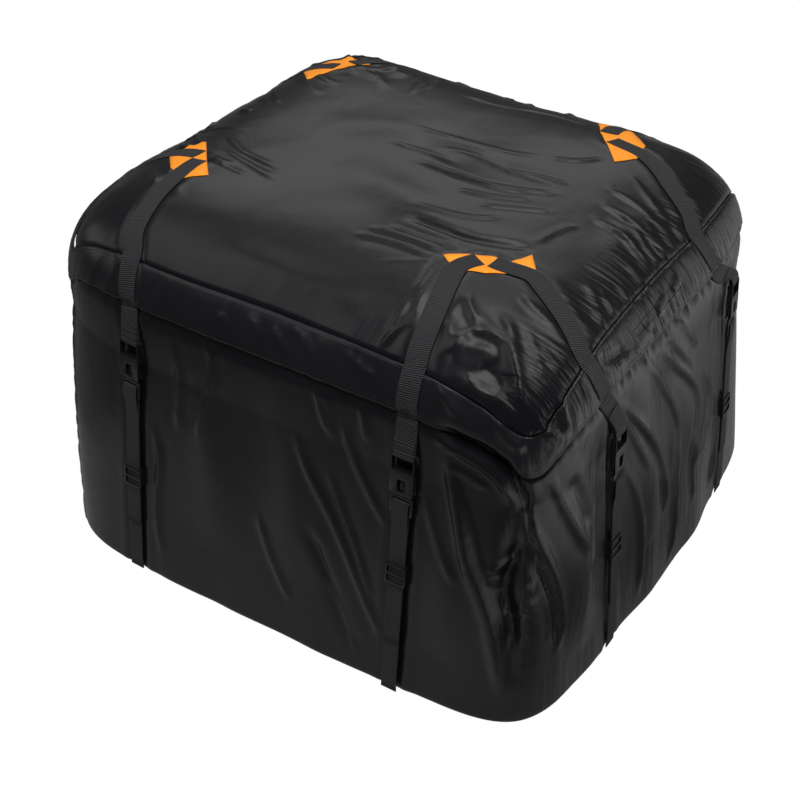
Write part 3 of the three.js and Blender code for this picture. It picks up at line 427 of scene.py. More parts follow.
def near_line(points, line, reach):
    """Distance of points to a line of points, and where along it, for those within reach."""
    lo, hi = line.min(0) - reach, line.max(0) + reach
    picked = np.nonzero(np.all((points > lo) & (points < hi), 1))[0]
    q = points[picked]
    best, where = np.full(len(q), 1e9), np.zeros(len(q))
    steps = np.linalg.norm(np.diff(line, axis=0), axis=1)
    total, run = max(steps.sum(), 1e-9), 0.0
    for a, b, length in zip(line[:-1], line[1:], steps):
        t = np.clip(((q - a) @ (b - a)) / max(length * length, 1e-9), 0, 1)
        d = np.linalg.norm(q - a - t[:, None] * (b - a), axis=1)
        closer = d < best
        best[closer], where[closer] = d[closer], (run + t[closer] * length) / total
        run += length
    return picked, best, where


def crease(points, strokes):
    """Outward push of many folds at points; each stroke is (height, half width, points)."""
    push = np.zeros(len(points))
    for height, width, line in strokes:
        line = catmull(line, 3) if len(line) > 2 else np.asarray(line, float)
        picked, d, s = near_line(points, line, 5 * width)
        q = (d / (0.85 * width)) ** 2
        taper = smooth(0, 0.22, s) * smooth(1, 0.78, s)
        crest = 0.6 * np.exp(-q) + 0.6 * np.exp(-1.6 * np.sqrt(q + 0.02))
        push[picked] += height * taper * (crest - 0.3 * np.exp(-q / 7))
    return push


# Straps: where each runs over the crown, from its cut end on the patch
STRAP_RUNS = {
    "front_right": [(206, -172), (197, -187), (191, -206), (196, -235),
                    (208, -279), (223, -333), (233, -377)],
    "right_front": [(225, -166), (245, -167), (266, -163), (290, -163),
                    (320, -183), (359, -210), (387, -231)],
    "right_back": [(192, 294), (220, 286), (250, 278), (286, 255), (340, 205), (388, 165)],
    "back_right": [(173, 323), (170, 341), (168, 368), (180, 405)],
    "front_left": [(-322, -137), (-323, -153), (-320, -179), (-314, -212),
                   (-306, -256), (-294, -298), (-277, -347)],
    "left_front": [(-338, -119), (-357, -117), (-381, -118), (-420, -132)],
    "left_back": [(-358, 297), (-380, 295), (-405, 290), (-430, 280)],
    "back_left": [(-340, 322), (-330, 345), (-315, 370), (-295, 400)],
}
# Heights and places along the face, where each runs down over the seam and the flap
WALL_DRIFT = {
    "front_right": [(525, 238), (490, 243), (455, 248)],
    "right_front": [(525, -251), (496, -252), (464, -240), (440, -225)],
    "right_back": [(525, 140), (496, 138), (464, 160), (440, 195)],
    "back_right": [(500, -215), (465, -240)],
    "front_left": [(525, -254), (490, -240), (455, -232)],
    "left_front": [(500, 165), (465, 192)],
    "left_back": [(500, -262), (465, -240)],
    "back_left": [(500, 262), (465, 240)],
}
BUCKLE_WIDTH, FEMALE_LENGTH, BAR = 38.0, 62.0, 3.5
BUCKLE_CLEARANCE, BUCKLE_DEPTH, BAR_PLAY = 1.2, 9.4, 0.6
BAR_OUT = BUCKLE_CLEARANCE + BUCKLE_DEPTH / 2
TURN_REACH = BAR / 2 + BAR_PLAY + WEB / 2
FEMALE_BAR = FEMALE_LENGTH - BAR / 2
MALE_BAR, MALE_FOOT = -16.0, -39.0
LOAD_RAISE, TAIL_RAISE = 2.6, 4.7


def spine(face, along, height, width=BUCKLE_WIDTH):
    """Wall under a strap: its left and right points, the middle, the side and the outward direction."""
    left = wall_point(face, along - width / 2, height)
    right = wall_point(face, along + width / 2, height)
    side = unit(right - left)
    rise = wall_point(face, along, height + 5) - wall_point(face, along, height - 5)
    return left, right, (left + right) / 2, side, unit(np.cross(side, rise))


class StrapFrame:
    """Straight frame for the hardware of a strap, standing clear of the wall's bulge."""

    def __init__(self, face, along, height, low, high):
        _, _, here, self.side, _ = spine(face, along, height)
        top, foot = spine(face, along, height + high)[2], spine(face, along, height + low)[2]
        self.out = unit(np.cross(self.side, top - foot))
        self.up = np.cross(self.out, self.side)
        standoff = 0.0
        for level_at in np.linspace(low, high, 13):
            left, right, _, _, _ = spine(face, along, height + level_at)
            standoff = max(standoff, (left - here) @ self.out, (right - here) @ self.out)
        self.origin = here + self.out * standoff

    def at(self, up, out):
        return self.origin + self.up * up + self.out * out


def strap_along(face, line):
    """Place along a face, to the right of its middle, of the line that a strap follows."""
    side = FACES[face][1]
    return LINES[line] * (side[0] + side[1])


strap_lines = {}
for name, face, line, *_ in STRAPS:
    points = [(x, y, float(crown_height(np.array(float(x)), np.array(float(y)))))
              for x, y in STRAP_RUNS[name]]
    points += [tuple(wall_point(face, along, height)) for height, along in WALL_DRIFT[name]]
    strap_lines[name] = catmull(points, 10)

# Skin of the bag: N by N cells over the crown, 4N columns round the walls

N = 208
WALL_STEPS = 88
EDGE_CROWDING, NEXT_TO_EDGE, TINY = 0.62, 0.995, 1e-6
inner_t = np.tan(np.linspace(-1, 1, N - 1) * EDGE_CROWDING) / math.tan(EDGE_CROWDING)
side_t = np.concatenate([[-1], inner_t * NEXT_TO_EDGE, [1]])
side_t[N // 2] = TINY
ring = np.array([(t, -1.0) for t in side_t[:N]] + [(1.0, t) for t in side_t[:N]]
                + [(-t, 1.0) for t in side_t[:N]] + [(-1.0, -t) for t in side_t[:N]])


def dip_at(height):
    """Dip of the level line at a corner: none low on the wall, most at the flap's edge."""
    return np.interp(height, [395, 415, 446, FLAP_EDGE, 492, SEAM_HEIGHT],
                     [0, 12, 30, EDGE_DIP + 4, SEAM_DIP + 4, SEAM_DIP + 5])


def wall_rows(levels):
    """Rings of points round the smooth wall, one for each level."""
    return wall_surface(ring[None, :, 0], ring[None, :, 1], levels[:, None], dip_at(levels)[:, None])[0]


FOOT_LEVELS, FOOT_INSETS = [0, 1.5, 4, 8], [6, 2.2, 0.6, 0]
HEM_LEVELS = [0, 1.2, 3, 4.6, 6.2, 8]
wall_levels = np.concatenate([FOOT_LEVELS, np.linspace(14, FLAP_EDGE - 24, WALL_STEPS),
                              FLAP_EDGE + np.array([-18, -12, -7, -3, 0, 6, 14]),
                              [SEAM_HEIGHT - 20, SEAM_HEIGHT - 4]])
wall_inset = np.interp(wall_levels, FOOT_LEVELS + [FLAP_EDGE - 20, FLAP_EDGE - 3, FLAP_EDGE + 14],
                       FOOT_INSETS + [0, 5.0, 8])
wall_base = wall_rows(wall_levels)
flap_levels = np.concatenate([FLAP_EDGE + np.array(HEM_LEVELS),
                              np.linspace(FLAP_EDGE + 12, SEAM_HEIGHT - 5, 9),
                              SEAM_HEIGHT - np.array([2.2, 0.8, 0])])
flap_base = wall_rows(flap_levels)

iu, iv = np.meshgrid(side_t, side_t)
level = np.maximum(np.abs(iu), np.abs(iv))
crown_du, crown_dv = iu / np.maximum(level, TINY), iv / np.maximum(level, TINY)
seam_shrink = wall_surface(crown_du, crown_dv, SEAM_HEIGHT + 0 * crown_du, SEAM_DIP + 5)[1]
crown_base = crown_surface(crown_du, crown_dv, np.maximum(level * seam_shrink, 1e-4))

wall_normals = grid_normals(wall_base, wrap=True)
flap_normals = grid_normals(flap_base, wrap=True)
crown_normals = grid_normals(crown_base)

# Traced folds, from their pixels back on to the smooth cloth
smooth_verts, smooth_faces = [], []
for grid, wrap in ((crown_base, False), (flap_base, True), (wall_base, True)):
    smooth_faces += grid_faces(*grid.shape[:2], wrap=wrap, start=len(smooth_verts)).tolist()
    smooth_verts += metres(grid.reshape(-1, 3)).tolist()
smooth_tree = BVHTree.FromPolygons(smooth_verts, smooth_faces)


def traced(line):
    """Points of the smooth cloth that the camera sees at pixels."""
    found = []
    for x, y in line:
        across, down = x - PHOTO_SIZE / 2 + SHIFT_PIXELS[0], y - PHOTO_SIZE / 2 - SHIFT_PIXELS[1]
        ray = forward * FOCAL_PIXELS + right * across - up * down
        hit = smooth_tree.ray_cast(eye, ray.normalized())
        if hit[0] is not None:
            found.append(np.array(hit[0]) * 1000 + ORIGIN)
    return np.array(found)


strokes = [(height, width, traced(line)) for height, width, line in TRACED_FOLDS]
strokes = [stroke for stroke in strokes if len(stroke[2]) > 1]
CLOSURE_GROOVE = (-0.8, 3)
strokes += [(*CLOSURE_GROOVE, np.array(row, float)) for row in CLOSURE_ROWS]

# Folds on the hidden sides repeat the seen ones, turned half round
TURNED_FROM, TURNED_SHARE = 430, 0.8
places = np.vstack([crown_base.reshape(-1, 3)[::7], wall_base.reshape(-1, 3)[::7]])
turned = []
for height, width, line in strokes:
    middle = line.mean(0)
    if abs(middle[0]) + abs(middle[1]) > TURNED_FROM:
        copy = line * (-1, -1, 1)
        copy = np.array([places[np.argmin(((places - p) ** 2).sum(1))] for p in copy])
        if len(np.unique(copy, axis=0)) == len(copy):
            turned.append((height * TURNED_SHARE, width, copy))

# Small wrinkles: gathers along the seams, and lines that run out from the patches
rng = np.random.default_rng(11)
small = []
ring_count = len(ring)
seam_row, edge_row = flap_base[-1], flap_base[0]
brow_row = wall_rows(np.array([FLAP_EDGE - 60.0]))[0]
GATHERS, LEAN_COLUMNS, LIVELY_FROM, QUIET = 150, 736, 380, 0.45
step = ring_count / GATHERS
for k in range(GATHERS):
    c = int(k * step + rng.uniform(0, step)) % ring_count
    lean = int(rng.integers(-3, 4)) * ring_count // LEAN_COLUMNS
    a, b = edge_row[c], brow_row[(c + lean) % ring_count]
    end = a + (b - a) * rng.uniform(0.4, 1.1)
    lively = 1.0 if a[0] > LIVELY_FROM or a[1] > LIVELY_FROM else QUIET
    small.append((lively * rng.uniform(0.6, 2.4), rng.uniform(4.5, 7), np.array([a, (a + end) / 2, end])))
    a, b = seam_row[c], edge_row[(c + lean) % ring_count]
    small.append((lively * rng.uniform(0.4, 1.6), rng.uniform(4, 6), np.array([a, (a + b) / 2, b])))
# Middle of each patch, and the directions in degrees that its wrinkles point away from
PATCH_MIDDLES = [(220, -165, 10, 190), (190, 295, 150, 300), (-330, -135, -60, 90), (-365, 280, -150, 10)]
for cx, cy, first, last in PATCH_MIDDLES:
    for _ in range(9):
        angle = math.radians(rng.uniform(first, last) + 180)
        r0, r1 = rng.uniform(50, 75), rng.uniform(110, 210)
        xs = np.array([cx + math.cos(angle) * r for r in np.linspace(r0, r1, 4)])
        ys = np.array([cy + math.sin(angle) * r for r in np.linspace(r0, r1, 4)])
        if np.abs(xs).max() < 400 and np.abs(ys).max() < 390:
            ray = np.stack([xs, ys, crown_height(xs, ys)], -1)
            small.append((rng.uniform(0.5, 1.4), rng.uniform(5, 8), ray))


def value_noise(u, v, seed):
    """Smooth noise from -1 to 1 over two coordinates."""
    table = np.random.default_rng(seed).uniform(-1, 1, (64, 64))
    iu, iv = np.floor(u).astype(int), np.floor(v).astype(int)
    fu, fv = u - iu, v - iv
    fu, fv = fu * fu * (3 - 2 * fu), fv * fv * (3 - 2 * fv)
    low, high = (mix(table[iu % 64, row % 64], table[(iu + 1) % 64, row % 64], fu) for row in (iv, iv + 1))
    return mix(low, high, fv)


def strap_press(points):
    """How far points are from the nearest strap's middle line."""
    nearest = np.full(len(points), 1e3)
    for name, face, line, buckle, _, _ in STRAPS:
        along = strap_along(face, line)
        low = [wall_point(face, along, height) for height in np.linspace(buckle + 60, 4, 14)]
        for path in (strap_lines[name][::3], np.vstack([strap_lines[name][-1:], low])):
            picked, d, _ = near_line(points, path, 60)
            nearest[picked] = np.minimum(nearest[picked], d)
    return nearest


# Factors on the height of a traced fold: on the walls, on the lid and on the lid's right edge; on the height
# of a small wrinkle on the lid; and on any fold under a strap
WALL_FOLDS, LID_FOLDS, GATHERED_EDGE, SMALL_ON_LID, UNDER_STRAP = 1.7, 0.85, 0.5, 0.5, 0.12
MEAN_RADIUS, MOST_PUSH = 460, 9


def shape(base, normals, outward):
    """Final points of a grid: the smooth shape, folded, wrinkled and pressed by the straps."""
    flat = base.reshape(-1, 3)
    x, y, z = flat.T
    strength = mix(WALL_FOLDS, LID_FOLDS, smooth(528, 556, z))
    strength = strength * mix(1.0, GATHERED_EDGE, smooth(300, 380, x) * smooth(515, 530, z))
    push = strength * (crease(flat, strokes) + crease(flat, turned))
    push += mix(1.0, SMALL_ON_LID, smooth(540, 560, z)) * crease(flat, small)
    across = np.arctan2(y, x) * MEAN_RADIUS
    rim = smooth(300, 400, np.maximum(np.abs(x), np.abs(y)))
    swell = 1.8 * value_noise(across / 95, z / 210 + 5, 1) + 0.8 * value_noise(across / 38, z / 130, 2)
    push += rim * swell + 0.8 * value_noise(x / 90 + 9, y / 120 + 9, 3)
    far = strap_press(flat)
    push *= mix(UNDER_STRAP, 1, smooth(15, 30, far))
    push += -1.4 * np.exp(-(far / 17) ** 4) + 0.9 * np.exp(-((far - 26) / 8) ** 2)
    push = np.minimum(push, MOST_PUSH).reshape(base.shape[:-1]) + outward
    return base + normals * push[..., None]


# Seams down the wall's corners: the front right one is given point by point, the others follow the corner
corner_runs = [np.array([
    (398, -385, 520), (406, -393, 486), (414, -403, 431), (422, -400, 355), (428, -401, 298),
    (430, -405, 248), (430, -411, 187), (432, -416, 117), (434, -417, 74), (438, -420, 0)], float)]
seam_heights = np.linspace(440, 0, 30)
for cx, cy in ((1.0, 1.0), (-1.0, 1.0), (-1.0, -1.0)):
    corner_runs.append(wall_surface(np.full(30, cx), np.full(30, cy), seam_heights, dip_at(seam_heights))[0])


def corner_seam(points):
    """Sewn seams down the corners of the wall: a groove, with gathers that cross it."""
    push = np.zeros(len(points))
    for line in corner_runs:
        picked, d, _ = near_line(points, line, 45)
        z = points[picked, 2]
        gathers = 1.6 * value_noise(z / 9 + 3, 0 * z + line[0, 0], 21) * np.exp(-(d / 14) ** 2)
        push[picked] += gathers - 3.2 * np.exp(-(d / 2.6) ** 2) + 1.4 * np.exp(-((d - 7) / 4) ** 2)
    return push


wall_push = fold_push(wall_base) - wall_inset[:, None]
wall_push += corner_seam(wall_base.reshape(-1, 3)).reshape(wall_push.shape)
wall = shape(wall_base, wall_normals, wall_push)
wall[:3, :, 2] = wall_levels[:3, None]

# Foot: the front right corner is drawn in and lifted a little, and the right side bellies out between straps
x, y, z = np.moveaxis(wall.copy(), -1, 0)
low, drawn = smooth(230, 0, z), smooth(200, 0, np.hypot(x - 450, y + 440))
belly = smooth(300, 440, x) * smooth(-185, -60, y) * smooth(215, 90, y) * smooth(330, 60, z)
wall[..., 0] += 11 * belly - 9 * drawn * low
wall[..., 1] += (5 * drawn + 6 * smooth(120, 330, x) * smooth(-300, -440, y)) * low
wall[..., 2] += 2 * drawn * smooth(120, 0, z)

# Storm flap: it hangs clear of the wall, puckered between the straps, with a hem turned under

SEAM_INSET, FLAP_STANDOFF = 2.6, 2.3
seam_inset = np.interp(flap_levels, [SEAM_HEIGHT - 2.2, SEAM_HEIGHT - 0.8, SEAM_HEIGHT], [0, 0.8, SEAM_INSET])
flap_c = np.arange(ring_count) / ring_count * GATHERS
broad = value_noise(flap_c * 2.2, 0 * flap_c + 3.5, 5)
pucker = 1 + 1.2 * broad + value_noise(flap_c * 5, 0 * flap_c + 7.5, 6)
hang = np.interp(flap_levels, [FLAP_EDGE, FLAP_EDGE + 14, SEAM_HEIGHT - 8, SEAM_HEIGHT], [1, 0.75, 0.35, 0])
pucker = pucker * smooth(14, 34, strap_press(edge_row))
hem_groove = np.interp(flap_levels, FLAP_EDGE + np.array([0, 3, 4.6, 6.2, 8]), [-0.6, 0.3, -0.5, 0.3, 0])
flap_lift = FLAP_STANDOFF + hem_groove[:, None] + pucker[None, :] * hang[:, None] - seam_inset[:, None]
flap_outer = shape(flap_base, flap_normals, fold_push(flap_base) + flap_lift)
flap_back = [flap_outer[k] - flap_normals[k] * t for k, t in ((0, 1.7), (2, 1.9), (5, 2.0), (8, 2.0))]
flap_all = np.concatenate([np.array(flap_back)[::-1], flap_outer], 0)

crown = shape(crown_base, crown_normals, np.where(level > EDGE_ON, -SEAM_INSET, 0.0))
crown[..., 2] += ridge_rise(crown[..., 0], crown[..., 1])

# Materials

def new_material(name, roughness, **values):
    """New material, its node tree and its shader; values are more inputs of the shader."""
    mat = bpy.data.materials.new(name)
    mat.use_nodes = True
    shader = mat.node_tree.nodes["Principled BSDF"]
    shader.inputs["Roughness"].default_value = roughness
    for key, value in values.items():
        shader.inputs[key.replace("_", " ")].default_value = value
    return mat, mat.node_tree, shader


def node(tree, kind, **values):
    """New shader node. Each value is a property of it, the value of an input or a socket linked to one."""
    made = tree.nodes.new(kind)
    for key, value in values.items():
        if hasattr(made, key):
            setattr(made, key, value)
        elif isinstance(value, bpy.types.NodeSocket):
            tree.links.new(value, made.inputs[key.replace("_", " ")])
        else:
            made.inputs[key.replace("_", " ")].default_value = value
    return made


def combine(tree, kind, *sockets):
    """Product or sum of several sockets."""
    total = sockets[0]
    for socket in sockets[1:]:
        made = node(tree, "ShaderNodeMath", operation=kind)
        tree.links.new(total, made.inputs[0])
        tree.links.new(socket, made.inputs[1])
        total = made.outputs[0]
    return total


def place_on_object(tree):
    return node(tree, "ShaderNodeTexCoord").outputs["Object"]


def scaled(tree, vector, scale):
    """Coordinates multiplied by a scale for each axis."""
    return node(tree, "ShaderNodeMapping", Vector=vector, Scale=scale).outputs[0]


def scaled_uv(tree, scale):
    return scaled(tree, node(tree, "ShaderNodeUVMap", uv_map="UVMap").outputs[0], scale)


def noise(tree, vector, scale, detail, roughness=0.5):
    made = node(tree, "ShaderNodeTexNoise", Vector=vector, Scale=scale, Detail=detail, Roughness=roughness)
    return made.outputs["Fac"]


def wave(tree, direction, scale, **values):
    made = node(tree, "ShaderNodeTexWave", Vector=scaled_uv(tree, scale), Scale=1.0, **values)
    made.bands_direction = direction
    return made.outputs["Fac"]


def colour_between(tree, share, dark, light, shader):
    """Base colour that goes from dark to light with a share from 0 to 1."""
    colour = node(tree, "ShaderNodeMix", data_type="RGBA")
    colour.inputs[6].default_value, colour.inputs[7].default_value = dark, light
    tree.links.new(share, colour.inputs[0])
    tree.links.new(colour.outputs[2], shader.inputs["Base Color"])


def add_bump(tree, height, strength, distance, before=None):
    """Bump on top of the one before; distance is its height in metres."""
    bump = node(tree, "ShaderNodeBump", Height=height, Strength=strength, Distance=distance)
    if before is not None:
        tree.links.new(before, bump.inputs["Normal"])
    return bump.outputs[0]


def cloth_material(name, dark, light, roughness, wrinkle=1.0, gathers=None):
    """Coated cloth. gathers is the scale of folds along each axis, and their strength on the right side."""
    mat, tree, shader = new_material(name, roughness, Specular_IOR_Level=0.5, Sheen_Weight=0.004)
    position = place_on_object(tree)
    cloud = noise(tree, position, 7.0, 4.0, 0.6)
    share = node(tree, "ShaderNodeMapRange", Value=cloud, From_Min=0.3, From_Max=0.7)
    colour_between(tree, share.outputs[0], dark, light, shader)
    bump = add_bump(tree, noise(tree, position, 9.0, 2.0), 0.6 * wrinkle, 0.004)
    fine = noise(tree, scaled_uv(tree, (110, 16, 1)), 1.0, 5.0, 0.6)
    bump = add_bump(tree, fine, 0.45 * wrinkle, 0.0007, bump)
    bump = add_bump(tree, noise(tree, position, 430.0, 2.0, 0.6), 0.35, 0.0004, bump)
    if gathers:
        folds = noise(tree, scaled(tree, position, gathers[:3]), 1.0, 3.0, 0.55)
        place = node(tree, "ShaderNodeSeparateXYZ", Vector=position)
        right_side = node(tree, "ShaderNodeMapRange", interpolation_type="SMOOTHSTEP",
                          Value=place.outputs["X"], From_Min=0.30, From_Max=0.43)
        folds = combine(tree, "MULTIPLY", folds, right_side.outputs[0])
        bump = add_bump(tree, folds, gathers[3], 0.006, bump)
    weave = combine(tree, "MULTIPLY", wave(tree, "X", (375, 0.25, 1)), wave(tree, "Y", (0.25, 375, 1)))
    tree.links.new(add_bump(tree, weave, 0.25, 0.0001, bump), shader.inputs["Normal"])
    return mat


def webbing_material(name, dark, light):
    """Ribbed black webbing, with a painted highlight on its rib crests: u runs across and v along, in metres.
    """
    mat, tree, shader = new_material(name, 0.55, Specular_IOR_Level=0.45, Sheen_Weight=0.03)
    rib = wave(tree, "Y", (90, 104, 1), Distortion=0.4, Detail=1.0)
    yarn = wave(tree, "X", (170, 120, 1), Distortion=0.3)
    # The rib pattern is real, but the lighter colour of the crests is a painted highlight standing in for the
    # sheen they catch
    colour_between(tree, combine(tree, "MULTIPLY", rib, yarn), dark, light, shader)
    both = node(tree, "ShaderNodeMath", operation="MULTIPLY_ADD")
    both.inputs[1].default_value = 0.35
    tree.links.new(yarn, both.inputs[0])
    tree.links.new(rib, both.inputs[2])
    tree.links.new(add_bump(tree, both.outputs[0], 1.0, 0.0014), shader.inputs["Normal"])
    return mat


def plastic_material(name, colour, roughness):
    """Moulded plastic with a fine grain."""
    mat, tree, shader = new_material(name, roughness, Base_Color=colour)
    grain = noise(tree, place_on_object(tree), 900.0, 3.0)
    tree.links.new(add_bump(tree, grain, 0.12, 0.0003), shader.inputs["Normal"])
    return mat


CLOTH_COLOURS = ((0.0030, 0.0033, 0.0042, 1), (0.0046, 0.0050, 0.0062, 1))
# The flap's colours are painted lighter than the body's cloth of the same black: a lit copy that stands in
# for the extra light the flap catches
FLAP_PAINTED_LIT_COLOURS = ((0.0052, 0.0056, 0.0068, 1), (0.0074, 0.0079, 0.0094, 1))
CLOTH = cloth_material("cloth_black", *CLOTH_COLOURS, 0.25, 1.0, (3, 34, 3, 0.55))
FLAP = cloth_material("cloth_flap", *FLAP_PAINTED_LIT_COLOURS, 0.25, 1.2, (6, 62, 9, 0.8))
LID = cloth_material("cloth_lid", *CLOTH_COLOURS, 0.25, 1.0, (5, 95, 5, 0.8))
PATCH = cloth_material("cloth_orange", (0.90, 0.27, 0.012, 1), (1.0, 0.33, 0.02, 1), 0.62, 0.3)
# Webbing colours: near black in the grooves, and a lighter grey on the rib crests that is a painted highlight
WEBBING = webbing_material("webbing_black", (0.001, 0.001, 0.0014, 1), (0.085, 0.088, 0.096, 1))
PLASTIC = plastic_material("plastic_black", (0.006, 0.006, 0.007, 1), 0.27)
THREAD = plastic_material("thread_black", (0.004, 0.004, 0.005, 1), 0.5)
ZIP = plastic_material("zip_black", (0.008, 0.008, 0.009, 1), 0.33)

# Cloth pieces
lid_points = crown.reshape(-1, 3)
lid = mesh_from("lid", lid_points, grid_faces(N + 1, N + 1), lid_points[:, :2] / 1000, LID)
arc = np.cumsum(np.linalg.norm(np.roll(wall[20], -1, 0) - wall[20], axis=-1)) / 1000


def ring_uv(levels):
    """Flat coordinates in metres of rings of points: along the girth and up the wall."""
    return np.stack(np.broadcast_arrays(arc[None, :], levels[:, None] / 1000), -1).reshape(-1, 2)


wall_faces = grid_faces(len(wall_levels), ring_count, wrap=True).tolist()
wall_faces.append(list(range(ring_count))[::-1])
body = mesh_from("body_wall", wall.reshape(-1, 3), wall_faces, ring_uv(wall_levels), CLOTH)
flap_uv_levels = np.concatenate([2 * FLAP_EDGE - flap_levels[[8, 5, 2, 0]], flap_levels])
flap_faces = grid_faces(len(flap_all), ring_count, wrap=True)
flap = mesh_from("storm_flap_cloth", flap_all.reshape(-1, 3), flap_faces, ring_uv(flap_uv_levels), FLAP)
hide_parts("bag_body")
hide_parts("storm_flap")
for piece in (body, lid, flap):
    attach(piece, "bag")

# Surface that the straps and patches lie on

def tree_of(*objects):
    """Search tree over the triangles and squares of several objects."""
    verts, faces = [], []
    for obj in objects:
        start = len(verts)
        verts += [tuple(v.co) for v in obj.data.vertices]
        faces += [[start + i for i in f.vertices] for f in obj.data.polygons if len(f.vertices) < 5]
    return BVHTree.FromPolygons(verts, faces)


skin_tree = tree_of(lid, flap, body)


def on_skin(points, reach=30.0):
    """Nearest points of the cloth and its normals there, in millimetres of the drawing."""
    found, normals = [], []
    for p in np.asarray(points, float).reshape(-1, 3):
        hit = skin_tree.find_nearest(Vector(metres(p)), reach / 1000)
        if hit[0] is None:
            found.append(p)
            normals.append((0, 0, 1))
        else:
            found.append(np.array(hit[0]) * 1000 + ORIGIN)
            normals.append(tuple(hit[1]))
    return np.array(found).reshape(np.shape(points)), np.array(normals).reshape(np.shape(points))


def outermost(points, out):
    """Points of the cloth met from outside, along the outward directions given."""
    found = np.array(points, float)
    flat, dirs = found.reshape(-1, 3), np.broadcast_to(out, found.shape).reshape(-1, 3)
    for k, (p, d) in enumerate(zip(flat.copy(), dirs)):
        hit = skin_tree.ray_cast(Vector(metres(p + 40 * d)), Vector(-d), 0.08)
        if hit[0] is not None:
            flat[k] = np.array(hit[0]) * 1000 + ORIGIN
    return flat.reshape(found.shape)


def soften(values, rounds):
    """Smooth a run of values, ends kept."""
    values = np.array(values, float)
    for _ in range(rounds):
        values[1:-1] = (values[:-2] + 2 * values[1:-1] + values[2:]) / 4
    return values


def even(points, step):
    """Points spaced evenly along a run."""
    points = np.asarray(points, float)
    run = run_lengths(points)
    at = np.linspace(0, run[-1], max(2, int(run[-1] / step) + 1))
    return np.stack([np.interp(at, run, points[:, k]) for k in range(3)], -1)


# Places across a webbing in half widths, its thickness there, and its gap to the cloth
ACROSS = np.array([-1, -0.94, -0.5, 0, 0.5, 0.94, 1])
THICKNESS = np.array([0.3, 1, 1, 1, 1, 1, 0.3])
CLOTH_GAP = 0.4


def run_lengths(points):
    """Length of a run of points up to each of them."""
    return np.concatenate([[0], np.cumsum(np.linalg.norm(np.diff(points, axis=0), axis=1))])


def ribbon(name, middle, side, out, width, material, hug=None):
    """Webbing along a middle line of its inner face. hug is 1 where it lies on the cloth, 0 where it leaves
    it and negative where it isn't kept off it."""
    count = len(middle)
    side = unit(side - out * (side * out).sum(-1, keepdims=True))
    inner = middle[:, None] + side[:, None] * (ACROSS[None, :, None] * width / 2)
    if hug is not None:
        cloth = outermost(inner, out[:, None])
        above = ((inner - cloth) * out[:, None]).sum(-1)
        near = np.abs(above) < 25
        settle = np.where(near, (CLOTH_GAP - above) * np.maximum(0, hug)[:, None], 0)
        inner = inner + settle[..., None] * out[:, None]
        above = ((inner - cloth) * out[:, None]).sum(-1)
        lift = np.where(near, np.maximum(0, CLOTH_GAP - above), 0) * (hug >= 0)[:, None]
        inner = inner + lift[..., None] * out[:, None]
        inner = soften(inner, 2)
    outer = inner + out[:, None] * (WEB * (1 + THICKNESS) / 2)[None, :, None]
    inner = inner + out[:, None] * (WEB * (1 - THICKNESS) / 2)[None, :, None]
    loops = np.concatenate([outer, inner[:, ::-1]], 1)
    size = loops.shape[1]
    run = run_lengths(middle) / 1000
    u = np.concatenate([ACROSS, ACROSS[::-1]]) * width / 2000
    uv = np.stack(np.broadcast_arrays(u[None, :], run[:, None]), -1)
    faces = []
    for r in range(count - 1):
        for c in range(size):
            n = (c + 1) % size
            faces.append([r * size + c, r * size + n, (r + 1) * size + n, (r + 1) * size + c][::-1])
    faces.append(list(range(size)))
    faces.append(list(range((count - 1) * size, count * size))[::-1])
    return mesh_from(name, loops.reshape(-1, 3), faces, uv.reshape(-1, 2), material)


def bent(path, place):
    """Inner line and outward directions of webbing whose middle is given as (up, out) in a strap's frame."""
    path = catmull([(u, o, 0) for u, o in path], 3)[:, :2]
    middle = np.array([place.at(u, o) for u, o in path])
    outward = np.array([place.up * o - place.out * u for u, o in unit(np.gradient(path, axis=0))])
    return middle - outward * WEB / 2, outward


def turn(bar_up, way, count=9):
    """Half turn of webbing round a bar, from its back to its front."""
    angles = np.linspace(-90, 90, count)
    return [(bar_up + way * TURN_REACH * math.cos(math.radians(a)),
             BAR_OUT + TURN_REACH * math.sin(math.radians(a))) for a in angles]


def copy_node(node_name, body, material, bevel=0.45):
    """Copy of a CAD node with rounded edges, which shows in its place."""
    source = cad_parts[node_name]
    mesh = source.data.copy()
    work = bmesh.new()
    work.from_mesh(mesh)
    bmesh.ops.remove_doubles(work, verts=work.verts, dist=1e-6)
    bmesh.ops.dissolve_limit(work, angle_limit=0.02, verts=work.verts, edges=work.edges)
    sharp = [e for e in work.edges if len(e.link_faces) == 2 and e.calc_face_angle() > 0.5]
    bmesh.ops.bevel(work, geom=sharp, offset=bevel / 1000, segments=2, affect="EDGES",
                    clamp_overlap=True, profile=0.5)
    work.to_mesh(mesh)
    work.free()
    obj = bpy.data.objects.new(node_name + "_shown", mesh)
    bpy.context.scene.collection.objects.link(obj)
    mesh.materials.clear()
    mesh.materials.append(material)
    mesh.polygons.foreach_set("use_smooth", [True] * len(mesh.polygons))
    mesh.set_sharp_from_angle(angle=0.6)
    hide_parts(node_name)
    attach(obj, body)
    return obj


